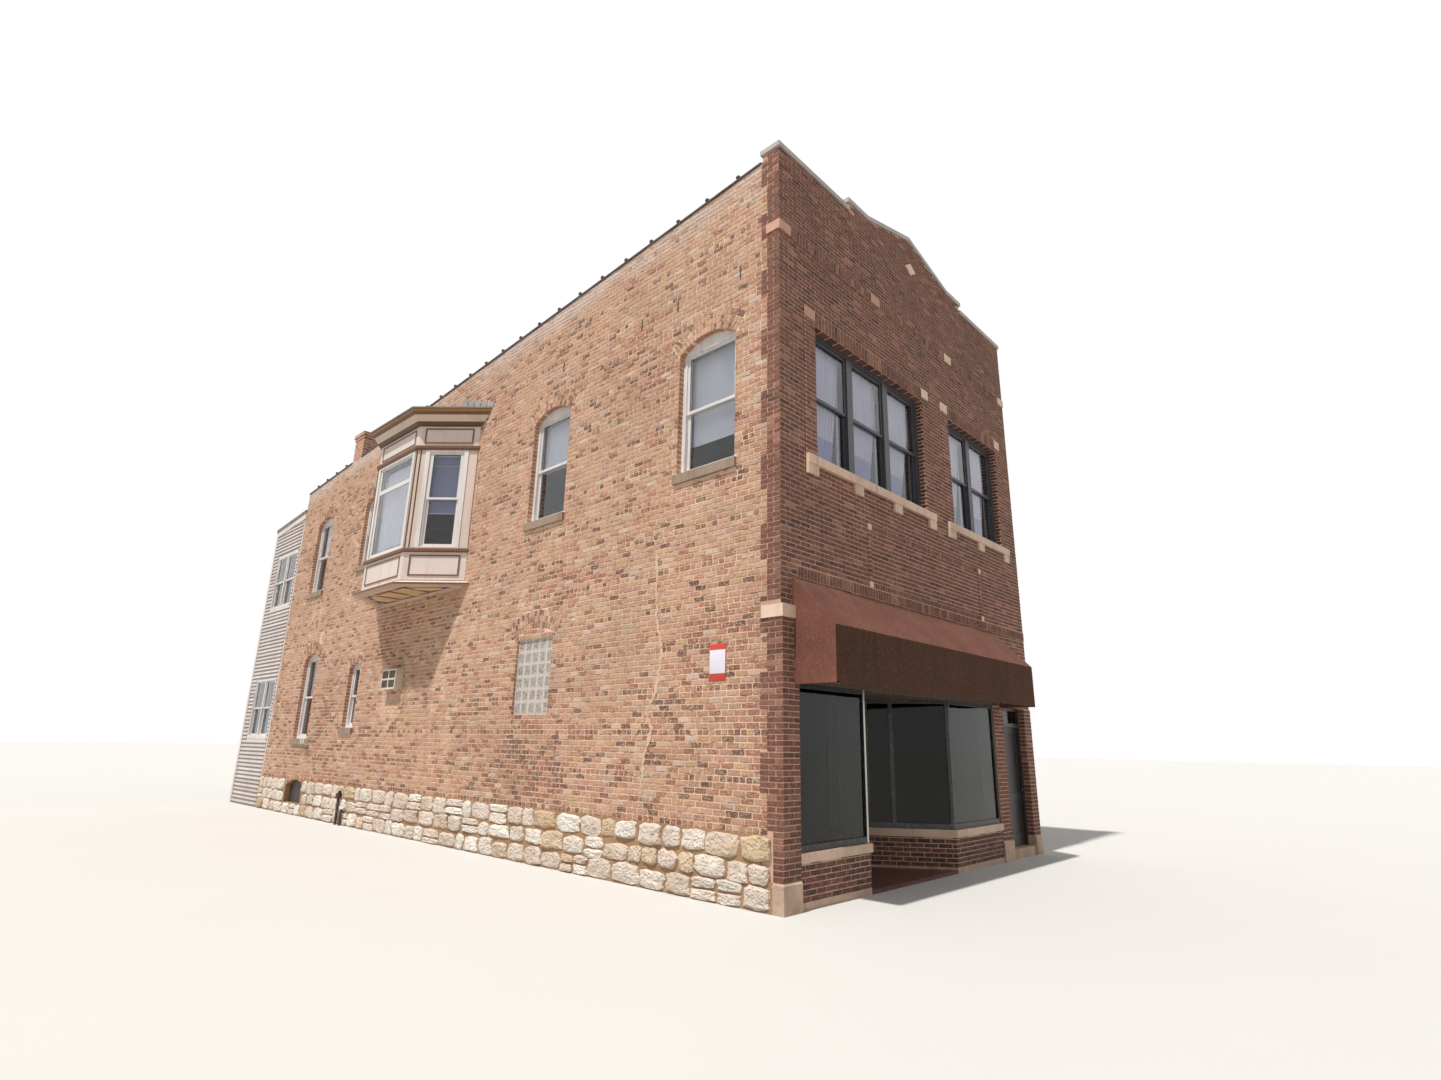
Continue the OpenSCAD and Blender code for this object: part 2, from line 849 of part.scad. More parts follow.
// A bay is a path whose second side (or first, when mirrored) runs along the entry
module display_bay(path, k0, k1, entry_a, entry_b) {
    storey(shop_glass_z - rail_h, shop_glass_z)
        polygon(band(path, bar_in, bar_in + bar_t, k0, k1));
    storey(shop_glass_top, head_z)
        polygon(band(path, bar_in, bar_in + bar_t, k0, k1));
    storey(shop_glass_z, shop_glass_top) {
        display_posts(path, k0, k1);
        mullion = [along(entry_a, entry_b, long_pane), along(entry_a, entry_b, long_pane + post_w)];
        polygon(entry_a[0] < entry_b[0] ? band(mullion, bar_in, bar_in + bar_t)
            : band(backwards(mullion), bar_in, bar_in + bar_t));
    }
}

module display_frames() {
    color([0.62, 0.58, 0.52])
        placed() {
            display_bay([left_path[0], left_path[1], along(left_path[2], left_path[1], -lap)], 0, 1,
                left_path[1], left_path[2]);
            display_bay([along(right_path[0], right_path[1], -lap), right_path[1], right_path[2]], 1, 0,
                right_path[1], right_path[0]);
            shop_door_frame();
        }
}

shop_jamb = 50;

// Frame round the shop door at the back of the entry; its jambs back the ends of the display bars
module shop_door_frame() {
    ear = (bar_in + bar_t) / unit(left_path[2] - left_path[1])[1];
    w = 2 * entry_half_back;
    h = head_z - floor_top;
    translate([left_path[2][0], entry_d, floor_top])
        xz(0, bar_t)
            difference() {
                translate([-ear, 0])
                    square([w + 2 * ear, h]);
                translate([shop_jamb, -1])
                    square([w - 2 * shop_jamb, shop_door_h + 1]);
                translate([shop_jamb, shop_door_h + shop_jamb])
                    square([w - 2 * shop_jamb, h - shop_door_h - 2 * shop_jamb]);
            }
}

// One sheet of glass between two points of the display window
module pane(a, b) {
    middle = bar_in + bar_t / 2;
    storey(shop_glass_z, shop_glass_top)
        polygon(band([along(a, b, glass_play), along(b, a, glass_play)], middle - shop_glass_t / 2,
            middle + shop_glass_t / 2));
}

module shop_glass() {
    color(glass_tint)
        placed() {
            pane(along(left_path[0], left_path[1], post_w), along(left_path[1], left_path[0], post_w));
            pane(along(left_path[1], left_path[2], post_w), along(left_path[1], left_path[2], long_pane));
            pane(along(left_path[1], left_path[2], long_pane + post_w),
                along(left_path[2], left_path[1], post_w));
            pane(along(right_path[0], right_path[1], post_w),
                along(right_path[1], right_path[0], long_pane + post_w));
            pane(along(right_path[1], right_path[0], long_pane), along(right_path[1], right_path[0], post_w));
            pane(along(right_path[1], right_path[2], post_w), along(right_path[2], right_path[1], post_w));
            pane_over_door();
            street_transom();
        }
}

module pane_over_door() {
    low = floor_top + shop_door_h + shop_jamb;
    translate([left_path[2][0] + shop_jamb, entry_d + bar_t / 2 - shop_glass_t / 2, low])
        cube([2 * (entry_half_back - shop_jamb), shop_glass_t, head_z - shop_jamb - low]);
}

module street_transom() {
    translate([door_x + door_post, door_leaf_y, door_top + door_gap + transom_bar])
        cube([door_w - 2 * door_post, shop_glass_t,
            head_z - door_post - door_top - door_gap - transom_bar]);
}

module shop_door() {
    w = 2 * (entry_half_back - shop_jamb);
    panel_h = 760;
    color([0.3, 0.2, 0.15])
        placed()
            translate([left_path[2][0] + shop_jamb, entry_d + 5, floor_top]) {
                xz(0, shop_door_t)
                    difference() {
                        square([w, shop_door_h]);
                        translate([shop_door_stile, panel_h])
                            square([w - 2 * shop_door_stile, shop_door_h - panel_h - shop_door_stile]);
                    }
                translate([shop_door_stile, shop_door_t / 2 - 4, panel_h])
                    cube([w - 2 * shop_door_stile, 8, shop_door_h - panel_h - shop_door_stile]);
            }
}

module entry_ceiling() {
    lid_t = 60;
    over = bulkhead_t;
    color([0.8, 0.76, 0.68])
        placed()
            storey(head_z, head_z + lid_t)
                polygon([[left_path[1][0] - over, front_t], [left_path[2][0] - over, entry_d + bar_t],
                    [right_path[0][0] + over, entry_d + bar_t], [right_path[1][0] + over, front_t]]);
}

// Awning

awning_path = [[0, awning_high], [-awning_reach, awning_lip], [-awning_reach, awning_low]];

module awning_side() {
    clear = 1;
    pier_face = -corner_proud - clear;
    cap_face = -2 * corner_proud - clear;
    polygon([[0, awning_high], [-awning_reach, awning_lip], [-awning_reach, awning_low],
        [pier_face, awning_low], [pier_face, cap_z - clear], [cap_face, cap_z - clear],
        [cap_face, cap_z + cap_h + clear], [0, cap_z + cap_h + clear]]);
}

module awning_cover() {
    color([0.42, 0.23, 0.19])
        placed() {
            yz(awning_x, awning_w)
                polygon(band(awning_path, 0, awning_t, 0, 1));
            yz(awning_x, awning_t)
                awning_side();
            yz(awning_x + awning_w - awning_t, awning_t)
                polygon([[0, awning_high], [-awning_reach, awning_lip], [-awning_reach, awning_low],
                    [0, awning_low]]);
        }
}

// Upright trusses of square tube behind the cover
module awning_ribs() {
    outer = awning_t + tube_w;
    ribs = 5;
    color([0.6, 0.6, 0.6])
        placed()
            for (i = [0 : ribs])
                yz(rib_first + i * (rib_last - rib_first) / ribs, tube_w) {
                    polygon(band(awning_path, outer, outer + tube_w, 0, 1));
                    translate([-2 * tube_w, front_wall_z])
                        square([tube_w, awning_high - front_wall_z - 5 * tube_w]);
                    translate([-awning_reach + outer, front_wall_z])
                        square([awning_reach - outer - tube_w, tube_w]);
                }
}

// Long tubes that tie the trusses to the wall and carry the cover's edges
module awning_rails() {
    color([0.6, 0.6, 0.6])
        placed()
            for (spot = [[-tube_w, front_wall_z], [-tube_w, awning_high - 6 * tube_w],
                    [-awning_reach + awning_t, awning_low + 10],
                    [-awning_reach + awning_t, awning_lip - 10 - tube_w]])
                yz(rib_first, rib_last + tube_w - rib_first)
                    translate(spot)
                        square([tube_w, tube_w]);
}

rib_first = corner_w + 10;
rib_last = awning_x + awning_w - awning_t - tube_w;

// Street door to the upper floor

door_leaf_y = door_reveal + 40;
hinge_r = 9;
hinge_pin_r = 4;
hinge_play = 0.3;
hinge_h = 100;
hinge_x = door_x + door_post + door_gap / 2;
hinge_y = door_leaf_y + door_t + hinge_r;
hinge_low = threshold_z + 200;
hinge_step = (door_top - hinge_low - 300) / 2;
plate_t = 3;
plate_w = 35;

module hinge_barrel(z0, h) {
    translate([hinge_x, hinge_y, z0])
        cylinder(r = hinge_r, h = h, $fn = 32);
}

module upstairs_door() {
    foot = threshold_z + door_gap + 3;
    w = door_w - 2 * door_post - 2 * door_gap;
    h = door_top - foot;
    stile = 110;
    rail_z = 780;
    color([0.1, 0.1, 0.1])
        placed() {
            translate([door_x + door_post + door_gap, door_leaf_y, foot])
                difference() {
                    cube([w, door_t, h]);
                    for (panel = [[stile, 200, w - 2 * stile, rail_z - 200],
                            [stile, rail_z + stile, w - 2 * stile, h - rail_z - 2 * stile]])
                        translate([panel[0], -1, panel[1]])
                            cube([panel[2], 13, panel[3]]);
                }
            for (i = [0 : 2])
                difference() {
                    union() {
                        hinge_barrel(hinge_low + i * hinge_step, hinge_h / 2);
                        translate([hinge_x, door_leaf_y + door_t, hinge_low + i * hinge_step])
                            cube([plate_w, plate_t, hinge_h / 2]);
                    }
                    translate([hinge_x, hinge_y, hinge_low + i * hinge_step - 1])
                        cylinder(r = hinge_pin_r + hinge_play, h = hinge_h / 2 + 2, $fn = 32);
                }
            translate([door_x + door_w - door_post - door_gap - 60, door_leaf_y, foot + 950]) {
                rotate([90, 0, 0])
                    cylinder(r = 12, h = 40, $fn = 24);
                translate([0, -40, 0])
                    sphere(r = 26, $fn = 24);
            }
        }
}

module upstairs_door_frame() {
    stop_w = 15;
    depth = door_leaf_y + door_t - door_reveal;
    h = head_z - threshold_z;
    bar_z = door_top + door_gap - threshold_z;
    color(trim_dark)
        placed() {
            translate([door_x, 0, threshold_z])
                xz(door_reveal, depth)
                    difference() {
                        square([door_w, h]);
                        translate([door_post, -1])
                            square([door_w - 2 * door_post, bar_z + 1]);
                        translate([door_post, bar_z + transom_bar])
                            square([door_w - 2 * door_post, h - bar_z - transom_bar - door_post]);
                    }
            translate([door_x, 0, threshold_z])
                xz(door_reveal, door_leaf_y - door_gap - door_reveal)
                    difference() {
                        translate([door_post, 0])
                            square([door_w - 2 * door_post, bar_z]);
                        translate([door_post + stop_w, -1])
                            square([door_w - 2 * door_post - 2 * stop_w, bar_z - stop_w + 1]);
                    }
            for (i = [0 : 2]) {
                knuckle = hinge_low + i * hinge_step + hinge_h / 2 + 1;
                hinge_barrel(knuckle, hinge_h / 2);
                translate([hinge_x - plate_w, door_leaf_y + door_t, knuckle])
                    cube([plate_w, plate_t, hinge_h / 2]);
                translate([hinge_x, hinge_y, knuckle - hinge_h / 2 - 1])
                    cylinder(r = hinge_pin_r, h = hinge_h / 2 + 2, $fn = 32);
            }
        }
}

// Windows

// A row of double-hung units in one frame, its outside at local y = 0
module sash_row(w, h, units, mullion) {
    unit_w = (w - 2 * frame_w - (units - 1) * mullion) / units;
    xz(0, frame_d)
        difference() {
            square([w, h]);
            for (i = [0 : units - 1])
                translate([frame_w + i * (unit_w + mullion), frame_w])
                    square([unit_w, h - 2 * frame_w]);
        }
    for (i = [0 : units - 1])
        translate([frame_w + i * (unit_w + mullion), sash_in, frame_w])
            sashes(unit_w, h - 2 * frame_w);
}

module sash_row_panes(w, h, units, mullion) {
    unit_w = (w - 2 * frame_w - (units - 1) * mullion) / units;
    for (i = [0 : units - 1])
        translate([frame_w + i * (unit_w + mullion), sash_in, frame_w])
            sash_panes(unit_w, h - 2 * frame_w);
}

sash_in = 25;
front_reveal = 100;

module front_window_frames() {
    color(trim_dark)
        placed() {
            translate([triple_x, front_reveal, front_win_sill])
                sash_row(triple_w, front_win_h, 3, mullion_w);
            translate([double_x, front_reveal, front_win_sill])
                sash_row(double_w, front_win_h, 2, mullion_w);
        }
}

module front_panes() {
    translate([triple_x, front_reveal, front_win_sill])
        sash_row_panes(triple_w, front_win_h, 3, mullion_w);
    translate([double_x, front_reveal, front_win_sill])
        sash_row_panes(double_w, front_win_h, 2, mullion_w);
}

// Stands children in the side wall, local x along the wall and local y inward
module in_side_wall(y, w, z) {
    on_face([side_reveal, y + w], [side_reveal, y])
        translate([0, 0, z])
            children();
}

// A double-hung window whose frame fills a segmental arch
module arched_sash(w, spring, rise) {
    xz(0, frame_d)
        difference() {
            arched(w, spring, rise);
            translate([frame_w, frame_w])
                square([w - 2 * frame_w, spring - frame_w]);
        }
    translate([frame_w, sash_in, frame_w])
        sashes(w - 2 * frame_w, spring - frame_w);
}

module side_window_frames() {
    color(trim_white)
        placed() {
            for (i = [0 : len(upper_win_y) - 1])
                in_side_wall(upper_win_y[i], upper_win_w[i], upper_win_sill[i])
                    arched_sash(upper_win_w[i], upper_win_spring - upper_win_sill[i] - bed,
                        rise_of(upper_win_w[i]));
            for (i = [0 : len(lower_win_y) - 1])
                in_side_wall(lower_win_y[i], lower_win_w[i], lower_win_sill[i])
                    arched_sash(lower_win_w[i], lower_win_spring[i] - lower_win_sill[i] - bed,
                        rise_of(lower_win_w[i]));
        }
}

module side_panes() {
    for (i = [0 : len(upper_win_y) - 1])
        in_side_wall(upper_win_y[i], upper_win_w[i], upper_win_sill[i])
            translate([frame_w, sash_in, frame_w])
                sash_panes(upper_win_w[i] - 2 * frame_w,
                    upper_win_spring - upper_win_sill[i] - bed - frame_w);
    for (i = [0 : len(lower_win_y) - 1])
        in_side_wall(lower_win_y[i], lower_win_w[i], lower_win_sill[i])
            translate([frame_w, sash_in, frame_w])
                sash_panes(lower_win_w[i] - 2 * frame_w,
                    lower_win_spring[i] - lower_win_sill[i] - bed - frame_w);
}

// The glass of every window above the shop front and along the side and rear
module window_glass() {
    color(glass_tint)
        placed() {
            front_panes();
            side_panes();
            oriel_panes();
            porch_panes();
        }
}

module side_window_sills() {
    color(stone_pale)
        placed()
            yz(-side_sill_proud, wall_t + side_sill_proud) {
                for (i = [0 : len(upper_win_y) - 1])
                    sill_outline(upper_win_y[i], upper_win_w[i], upper_win_sill[i]);
                for (i = [0 : len(lower_win_y) - 1])
                    sill_outline(lower_win_y[i], lower_win_w[i], lower_win_sill[i]);
            }
}

module glass_block_window() {
    joint = 10;
    proud = 4;
    panel_t = 90;
    w = block_cols * glass_block;
    h = block_rows * glass_block;
    color([0.75, 0.82, 0.8])
        placed() {
            yz(40, panel_t)
                translate([block_win_y, block_win_z])
                    square([w, h]);
            for (i = [0 : block_cols - 1], j = [0 : block_rows - 1])
                translate([40 - proud, block_win_y + i * glass_block + joint / 2,
                        block_win_z + j * glass_block + joint / 2])
                    cube([panel_t + 2 * proud, glass_block - joint, glass_block - joint]);
        }
}

module basement_window() {
    board_t = 30;
    color([0.2, 0.18, 0.17])
        placed()
            yz(100, board_t)
                intersection() {
                    translate([cellar_y, cellar_sill])
                        square([cellar_w, base_z - cellar_sill]);
                    translate([cellar_y, cellar_sill])
                        arched(cellar_w, cellar_spring - cellar_sill - bed, base_z - cellar_spring);
                }
}

// Chimney

module chimney() {
    far = chimney_y + chimney_l;
    color([0.8, 0.74, 0.66])
        placed() {
            yz(0, wall_t)
                polygon([[chimney_y, wall_top(chimney_y) + bed], [far, wall_top(far) + bed],
                    [far, chimney_top], [chimney_y, chimney_top]]);
            yz(wall_t, chimney_w - wall_t)
                polygon([[chimney_y, deck_top(chimney_y) + bed], [far, deck_top(far) + bed],
                    [far, chimney_top], [chimney_y, chimney_top]]);
            chimney_step(20, chimney_top - chimney_ledge, chimney_ledge);
            chimney_step(40, chimney_top, chimney_cap);
        }
}

// A course that stands out round the chimney
module chimney_step(over, z, h) {
    translate([-over, chimney_y - over, z])
        cube([chimney_w + 2 * over, chimney_l + 2 * over, h]);
}

// Oriel bay

// A wall that follows the oriel: its outer face is the profile, rising points of [inward offset, height]
module oriel_sweep(profile) {
    n = len(profile);
    m = len(oriel_path);
    outer = [for (p = profile) line(oriel_path, p[0], 0, 0)];
    inner = line(oriel_path, oriel_t, 0, 0);
    points = concat([for (i = [0 : m - 1], j = [0 : n - 1]) [outer[j][i][0], outer[j][i][1], profile[j][1]]],
        [for (i = [0 : m - 1], j = [0 : n - 1]) [inner[i][0], inner[i][1], profile[j][1]]]);
    back = m * n;
    faces = [for (i = [0 : m - 2], j = [0 : n - 2]) each [
        [i * n + j, i * n + j + 1, (i + 1) * n + j + 1, (i + 1) * n + j],
        [back + i * n + j, back + (i + 1) * n + j, back + (i + 1) * n + j + 1, back + i * n + j + 1]]];
    lids = [for (i = [0 : m - 2]) each [
        [i * n, (i + 1) * n, back + (i + 1) * n, back + i * n],
        [i * n + n - 1, back + i * n + n - 1, back + (i + 1) * n + n - 1, (i + 1) * n + n - 1]]];
    ends = [for (j = [0 : n - 2]) each [
        [j, back + j, back + j + 1, j + 1],
        [(m - 1) * n + j, (m - 1) * n + j + 1, back + (m - 1) * n + j + 1, back + (m - 1) * n + j]]];
    polyhedron(points = points, faces = concat(faces, lids, ends), convexity = 6);
}

function oriel_side_w(i) = norm(oriel_path[i + 1] - oriel_path[i]);

// Strips that frame a panel on each side of the oriel
module oriel_panels(z0, z1) {
    margin = 130;
    for (i = [0 : 2])
        on_face(oriel_path[i], oriel_path[i + 1])
            translate([margin, -strip_t, z0])
                xz(0, strip_t + lap)
                    border_2d(oriel_side_w(i) - 2 * margin, z1 - z0, oriel_strip);
}

strip_t = 15;

module oriel_base() {
    color(trim_cream)
        placed() {
            oriel_sweep([[-oriel_skirt, oriel_low], [-oriel_skirt, oriel_low + 40], [-40, oriel_low + 90],
                [0, oriel_low + 130], [0, oriel_sill - 100], [-50, oriel_sill - 80],
                [-50, oriel_sill - 30], [-20, oriel_sill]]);
            oriel_panels(oriel_low + 200, oriel_sill - 150);
            storey(oriel_low, upper_floor)
                polygon(line(oriel_path, oriel_t, 0, 0));
            storey(oriel_low - strip_t, oriel_low + lap)
                soffit_battens();
        }
}

// Battens under the oriel: a frame and slanting strips between
module soffit_battens() {
    edge = line(oriel_path, 20, 0, 0);
    polygon(band(edge, 0, oriel_strip, 0, 0));
    translate([-oriel_strip, edge[3][1]])
        square([oriel_strip, edge[0][1] - edge[3][1]]);
    intersection() {
        polygon(edge);
        for (i = [-1 : 2])
            translate([0, oriel_cy + (i - 0.5) * oriel_half_front])
                rotate(125)
                    square([2 * oriel_out, oriel_strip]);
    }
}

module oriel_frame() {
    color(trim_cream)
        placed() {
            storey(oriel_sill, oriel_sill + light_h) {
                polygon(band([oriel_path[0], along(oriel_path[0], oriel_path[1], post_w(0))],
                    0, oriel_t, 0, -1));
                polygon(band([along(oriel_path[3], oriel_path[2], post_w(2)), oriel_path[3]],
                    0, oriel_t, -1, 0));
                for (i = [1, 2])
                    polygon(band([along(oriel_path[i], oriel_path[i - 1], post_w(i - 1)), oriel_path[i],
                        along(oriel_path[i], oriel_path[i + 1], post_w(i))], 0, oriel_t));
            }
            for (i = [0 : 2])
                oriel_light(i) {
                    casing(oriel_light_w(i), light_h);
                    light_ring(oriel_light_w(i), light_h);
                    translate([stile_w, 0, stile_w])
                        if (i == 1)
                            picture_sash(inner_w(i), inner_h, transom_z);
                        else
                            sashes(inner_w(i), inner_h);
                }
        }
}

light_h = oriel_head - bed - oriel_sill;
inner_h = light_h - 2 * stile_w;
transom_z = inner_h * 0.7;
light_in = 10;
function post_w(i) = i == 1 ? oriel_post : oriel_side_post;
function oriel_light_w(i) = oriel_side_w(i) - 2 * post_w(i);
function inner_w(i) = oriel_light_w(i) - 2 * stile_w;

module oriel_light(i) {
    on_face(oriel_path[i], oriel_path[i + 1])
        translate([post_w(i), light_in, oriel_sill])
            children();
}

// The raised casing outside a light of the oriel
module casing(w, h) {
    proud = 18;
    xz(-proud - light_in, proud + light_in + lap)
        difference() {
            translate([-oriel_casing, 0])
                square([w + 2 * oriel_casing, h]);
            translate([stile_w / 3, stile_w / 3])
                square([w - 2 * stile_w / 3, h - 4 * stile_w / 3]);
        }
}

module light_ring(w, h) {
    xz(0, sash_t * 2)
        difference() {
            translate([-lap, 0])
                square([w + 2 * lap, h]);
            translate([stile_w, stile_w])
                square([w - 2 * stile_w, h - 2 * stile_w]);
        }
}

// A fixed sash with a bar between its large pane and the one above
module picture_sash(w, h, bar_z) {
    xz(0, sash_t)
        difference() {
            square([w, h]);
            picture_panes(w, h, bar_z);
        }
}

module picture_panes(w, h, bar_z) {
    for (span = [[stile_w, bar_z], [bar_z + 2 * stile_w, h - stile_w]])
        translate([stile_w, span[0]])
            square([w - 2 * stile_w, span[1] - span[0]]);
}

module oriel_panes() {
    for (i = [0 : 2])
        oriel_light(i)
            translate([stile_w, 0, stile_w])
                if (i == 1)
                    xz(sash_t / 2 - glass_t / 2, glass_t)
                        picture_panes(inner_w(i), inner_h, transom_z);
                else
                    sash_panes(inner_w(i), inner_h);
}

module oriel_cornice() {
    color(trim_cream)
        placed() {
            oriel_sweep([[-30, oriel_head], [-50, oriel_head + 40], [-50, oriel_head + 90],
                [0, oriel_head + 110], [0, oriel_cornice_z - 20], [-60, oriel_cornice_z],
                [-90, oriel_cornice_z + 60], [60 - oriel_overhang, oriel_eave - 110],
                [-oriel_overhang, oriel_eave - 60], [-oriel_overhang, oriel_eave]]);
            oriel_panels(oriel_head + 150, oriel_cornice_z - 60);
            storey(oriel_cornice_z, oriel_cornice_z + 40)
                polygon(line(oriel_path, oriel_t, 0, 0));
        }
}

module oriel_roof() {
    edge = line(oriel_path, -oriel_overhang - 30, 0, 0);
    ridge_half = oriel_half_front;
    color([0.45, 0.43, 0.42])
        placed()
            hull() {
                storey(oriel_eave, oriel_eave + 25)
                    polygon(edge);
                translate([-10, oriel_cy - ridge_half, oriel_eave])
                    cube([10, 2 * ridge_half, oriel_rise]);
            }
}

// Porch

porch_z = [porch_lower_sill, porch_upper_sill];
porch_rear_x = [porch_rear_gap, front_w - porch_rear_gap - porch_win_w];
porch_roof_t = 100;

module porch_walls() {
    color([0.82, 0.83, 0.84])
        placed() {
            for (x = [0, front_w - porch_t])
                yz(x, porch_t)
                    difference() {
                        polygon([[block_d, 0], [total_d, 0], [total_d, porch_under(total_d)],
                            [block_d, porch_under(block_d)]]);
                        if (x == 0)
                            for (z = porch_z)
                                translate([block_d + porch_win_gap, z])
                                    square([porch_win_w, porch_win_h]);
                    }
            xz(total_d - porch_t, porch_t)
                difference() {
                    translate([porch_t, 0])
                        square([front_w - 2 * porch_t, porch_under(total_d)]);
                    for (x = porch_rear_x, z = porch_z)
                        translate([x, z])
                            square([porch_win_w, porch_win_h]);
                }
        }
}

// Stands children in each opening of the porch
module in_porch() {
    inset = (porch_t - frame_d) / 2;
    for (z = porch_z) {
        on_face([inset, block_d + porch_win_gap + porch_win_w], [inset, block_d + porch_win_gap])
            translate([0, 0, z])
                children();
        for (x = porch_rear_x)
            on_face([x + porch_win_w, total_d - inset], [x, total_d - inset])
                translate([0, 0, z])
                    children();
    }
}

module porch_windows() {
    color(trim_white)
        placed()
            in_porch()
                sash_row(porch_win_w, porch_win_h, 2, frame_w);
}

module porch_panes() {
    in_porch()
        sash_row_panes(porch_win_w, porch_win_h, 2, frame_w);
}

// Top of what stands under the porch roof
function porch_under(y) = porch_top(y) - porch_roof_t - bed;

module porch_roof() {
    end = total_d + porch_over;
    color([0.35, 0.34, 0.34])
        placed()
            yz(-porch_over, front_w + 2 * porch_over)
                polygon([[block_d, porch_top(block_d)], [end, porch_top(end)],
                    [end, porch_top(end) - porch_roof_t], [block_d, porch_top(block_d) - porch_roof_t]]);
}

module porch_fascia() {
    board_h = 160;
    board_t = 25;
    trim_w = 110;
    end = total_d + board_t;
    trim_top = porch_under(end) - board_h - 10;
    color(trim_white)
        placed() {
            for (x = [-board_t, front_w])
                yz(x, board_t)
                    polygon([[block_d, porch_under(block_d)], [end, porch_under(end)],
                        [end, porch_under(end) - board_h], [block_d, porch_under(block_d) - board_h]]);
            translate([0, total_d, porch_under(end) - board_h])
                cube([front_w, board_t, board_h]);
            for (x = [-board_t, front_w])
                translate([x, total_d - trim_w, 0])
                    cube([board_t, trim_w + board_t, trim_top]);
            for (x = [0, front_w - trim_w])
                translate([x, total_d, 0])
                    cube([trim_w, board_t, trim_top]);
        }
}

// Fittings on the side wall

// The unit, with two by two openings in its face and fins behind them
module air_conditioner() {
    rim = 35;
    face_d = 20;
    fin_t = 8;
    fins = 7;
    pane_l = (cooler_l - 3 * rim) / 2;
    pane_h = (cooler_h - 3 * rim) / 2;
    color([0.75, 0.72, 0.66])
        placed()
            difference() {
                translate([-cooler_out, cooler_y, cooler_z])
                    cube([cooler_out + wall_t + 40, cooler_l, cooler_h]);
                for (i = [0, 1], j = [0, 1])
                    translate([-cooler_out - 1, cooler_y + rim + i * (pane_l + rim),
                            cooler_z + rim + j * (pane_h + rim)])
                        difference() {
                            cube([face_d + 1, pane_l, pane_h]);
                            for (k = [1 : fins])
                                translate([8, -1, k * pane_h / (fins + 1) - fin_t / 2])
                                    cube([face_d, pane_l + 2, fin_t]);
                        }
            }
}

module wall_fittings() {
    bar = [12, 24];
    valve_h = 90;
    color([0.15, 0.13, 0.12])
        placed() {
            for (spot = anchors)
                translate([-bar[0], spot[0] - bar[0], spot[1]])
                    cube([bar[0], bar[1], anchor_l]);
            translate([-base_proud - 70, pipe_y, 0]) {
                cylinder(r = pipe_r, h = pipe_h, $fn = 24);
                translate([0, 0, pipe_h - valve_h - 50])
                    cylinder(r = 2.6 * pipe_r, h = valve_h, $fn = 24);
                translate([0, 0, pipe_h - 20])
                    rotate([0, 90, 0])
                        cylinder(r = pipe_r, h = 70, $fn = 24);
                translate([0, -stub_gap, 0])
                    cylinder(r = pipe_r, h = stub_h, $fn = 24);
                translate([0, -stub_gap, stub_h - 60])
                    rotate([0, 90, 0])
                        cylinder(r = pipe_r * 0.8, h = 70, $fn = 24);
            }
            twin_lamp();
        }
}

// Two lamp heads on one base plate
module twin_lamp() {
    head = [100, 80, 110];
    for (dy = [-110, 30])
        translate([-140, lamp_y + dy, lamp_z])
            cube(head);
    translate([-40, lamp_y - 110, lamp_z - 20])
        cube([40, 220, 60]);
}

ground_floor();
entry_floor();
second_floor();
roof_deck();
foundation_wall();
left_wall();
party_wall();
rear_wall();
front_wall();
brick_borders();
corner_pier();
door_piers();
base_stones();
front_sills();
accent_stones();
front_coping();
side_coping();
storefront_header();
shop_bulkheads();
display_frames();
shop_glass();
shop_door();
entry_ceiling();
awning_rails();
awning_ribs();
awning_cover();
upstairs_door();
upstairs_door_frame();
front_window_frames();
side_window_frames();
window_glass();
side_window_sills();
glass_block_window();
chimney();
oriel_base();
oriel_frame();
oriel_cornice();
oriel_roof();
porch_walls();
porch_windows();
porch_roof();
porch_fascia();
air_conditioner();
basement_window();
wall_fittings();
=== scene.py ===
"""Looks of a two-storey brick corner shop, dressed round its packed CAD frame.

Sizes here are building metres: x from the outer face of the side wall, y from the front, z from the ground.
CORNER turns them into the frame's own place.
"""

import math
import random

import bpy
import numpy as np
from mathutils import Matrix, Vector


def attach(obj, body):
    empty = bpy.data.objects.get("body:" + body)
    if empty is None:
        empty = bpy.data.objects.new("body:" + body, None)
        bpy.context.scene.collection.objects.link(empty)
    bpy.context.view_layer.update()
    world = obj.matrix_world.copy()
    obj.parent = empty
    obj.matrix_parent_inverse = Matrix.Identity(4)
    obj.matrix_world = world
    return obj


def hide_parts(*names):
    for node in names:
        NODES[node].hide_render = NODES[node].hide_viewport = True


bl_info = {
    "name": "Corner shop dressing",
    "version": (1, 0, 0),
    "blender": (4, 5, 0),
    "location": "3D View > Sidebar > Corner shop",
    "description": "Brickwork, stones, boards, cloth and finishes of a two-storey corner shop",
    "category": "Object",
}

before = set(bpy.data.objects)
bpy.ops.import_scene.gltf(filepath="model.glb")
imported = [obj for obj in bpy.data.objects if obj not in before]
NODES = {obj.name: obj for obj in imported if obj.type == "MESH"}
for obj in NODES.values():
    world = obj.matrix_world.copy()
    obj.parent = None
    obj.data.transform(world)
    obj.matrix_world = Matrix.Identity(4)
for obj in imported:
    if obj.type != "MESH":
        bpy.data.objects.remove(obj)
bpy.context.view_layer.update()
CORNER = Vector((-3.875, -10.125, 0))


def colour(text):
    """Linear colour from a written sRGB one such as c8a38a."""
    parts = [int(text[i:i + 2], 16) / 255 for i in (0, 2, 4)]
    return tuple(p / 12.92 if p < 0.04045 else ((p + 0.055) / 1.055) ** 2.4 for p in parts)


def colour_prop(name, text, description):
    return bpy.props.FloatVectorProperty(
        name=name, description=description, subtype="COLOR", size=3, min=0, max=1, default=colour(text))


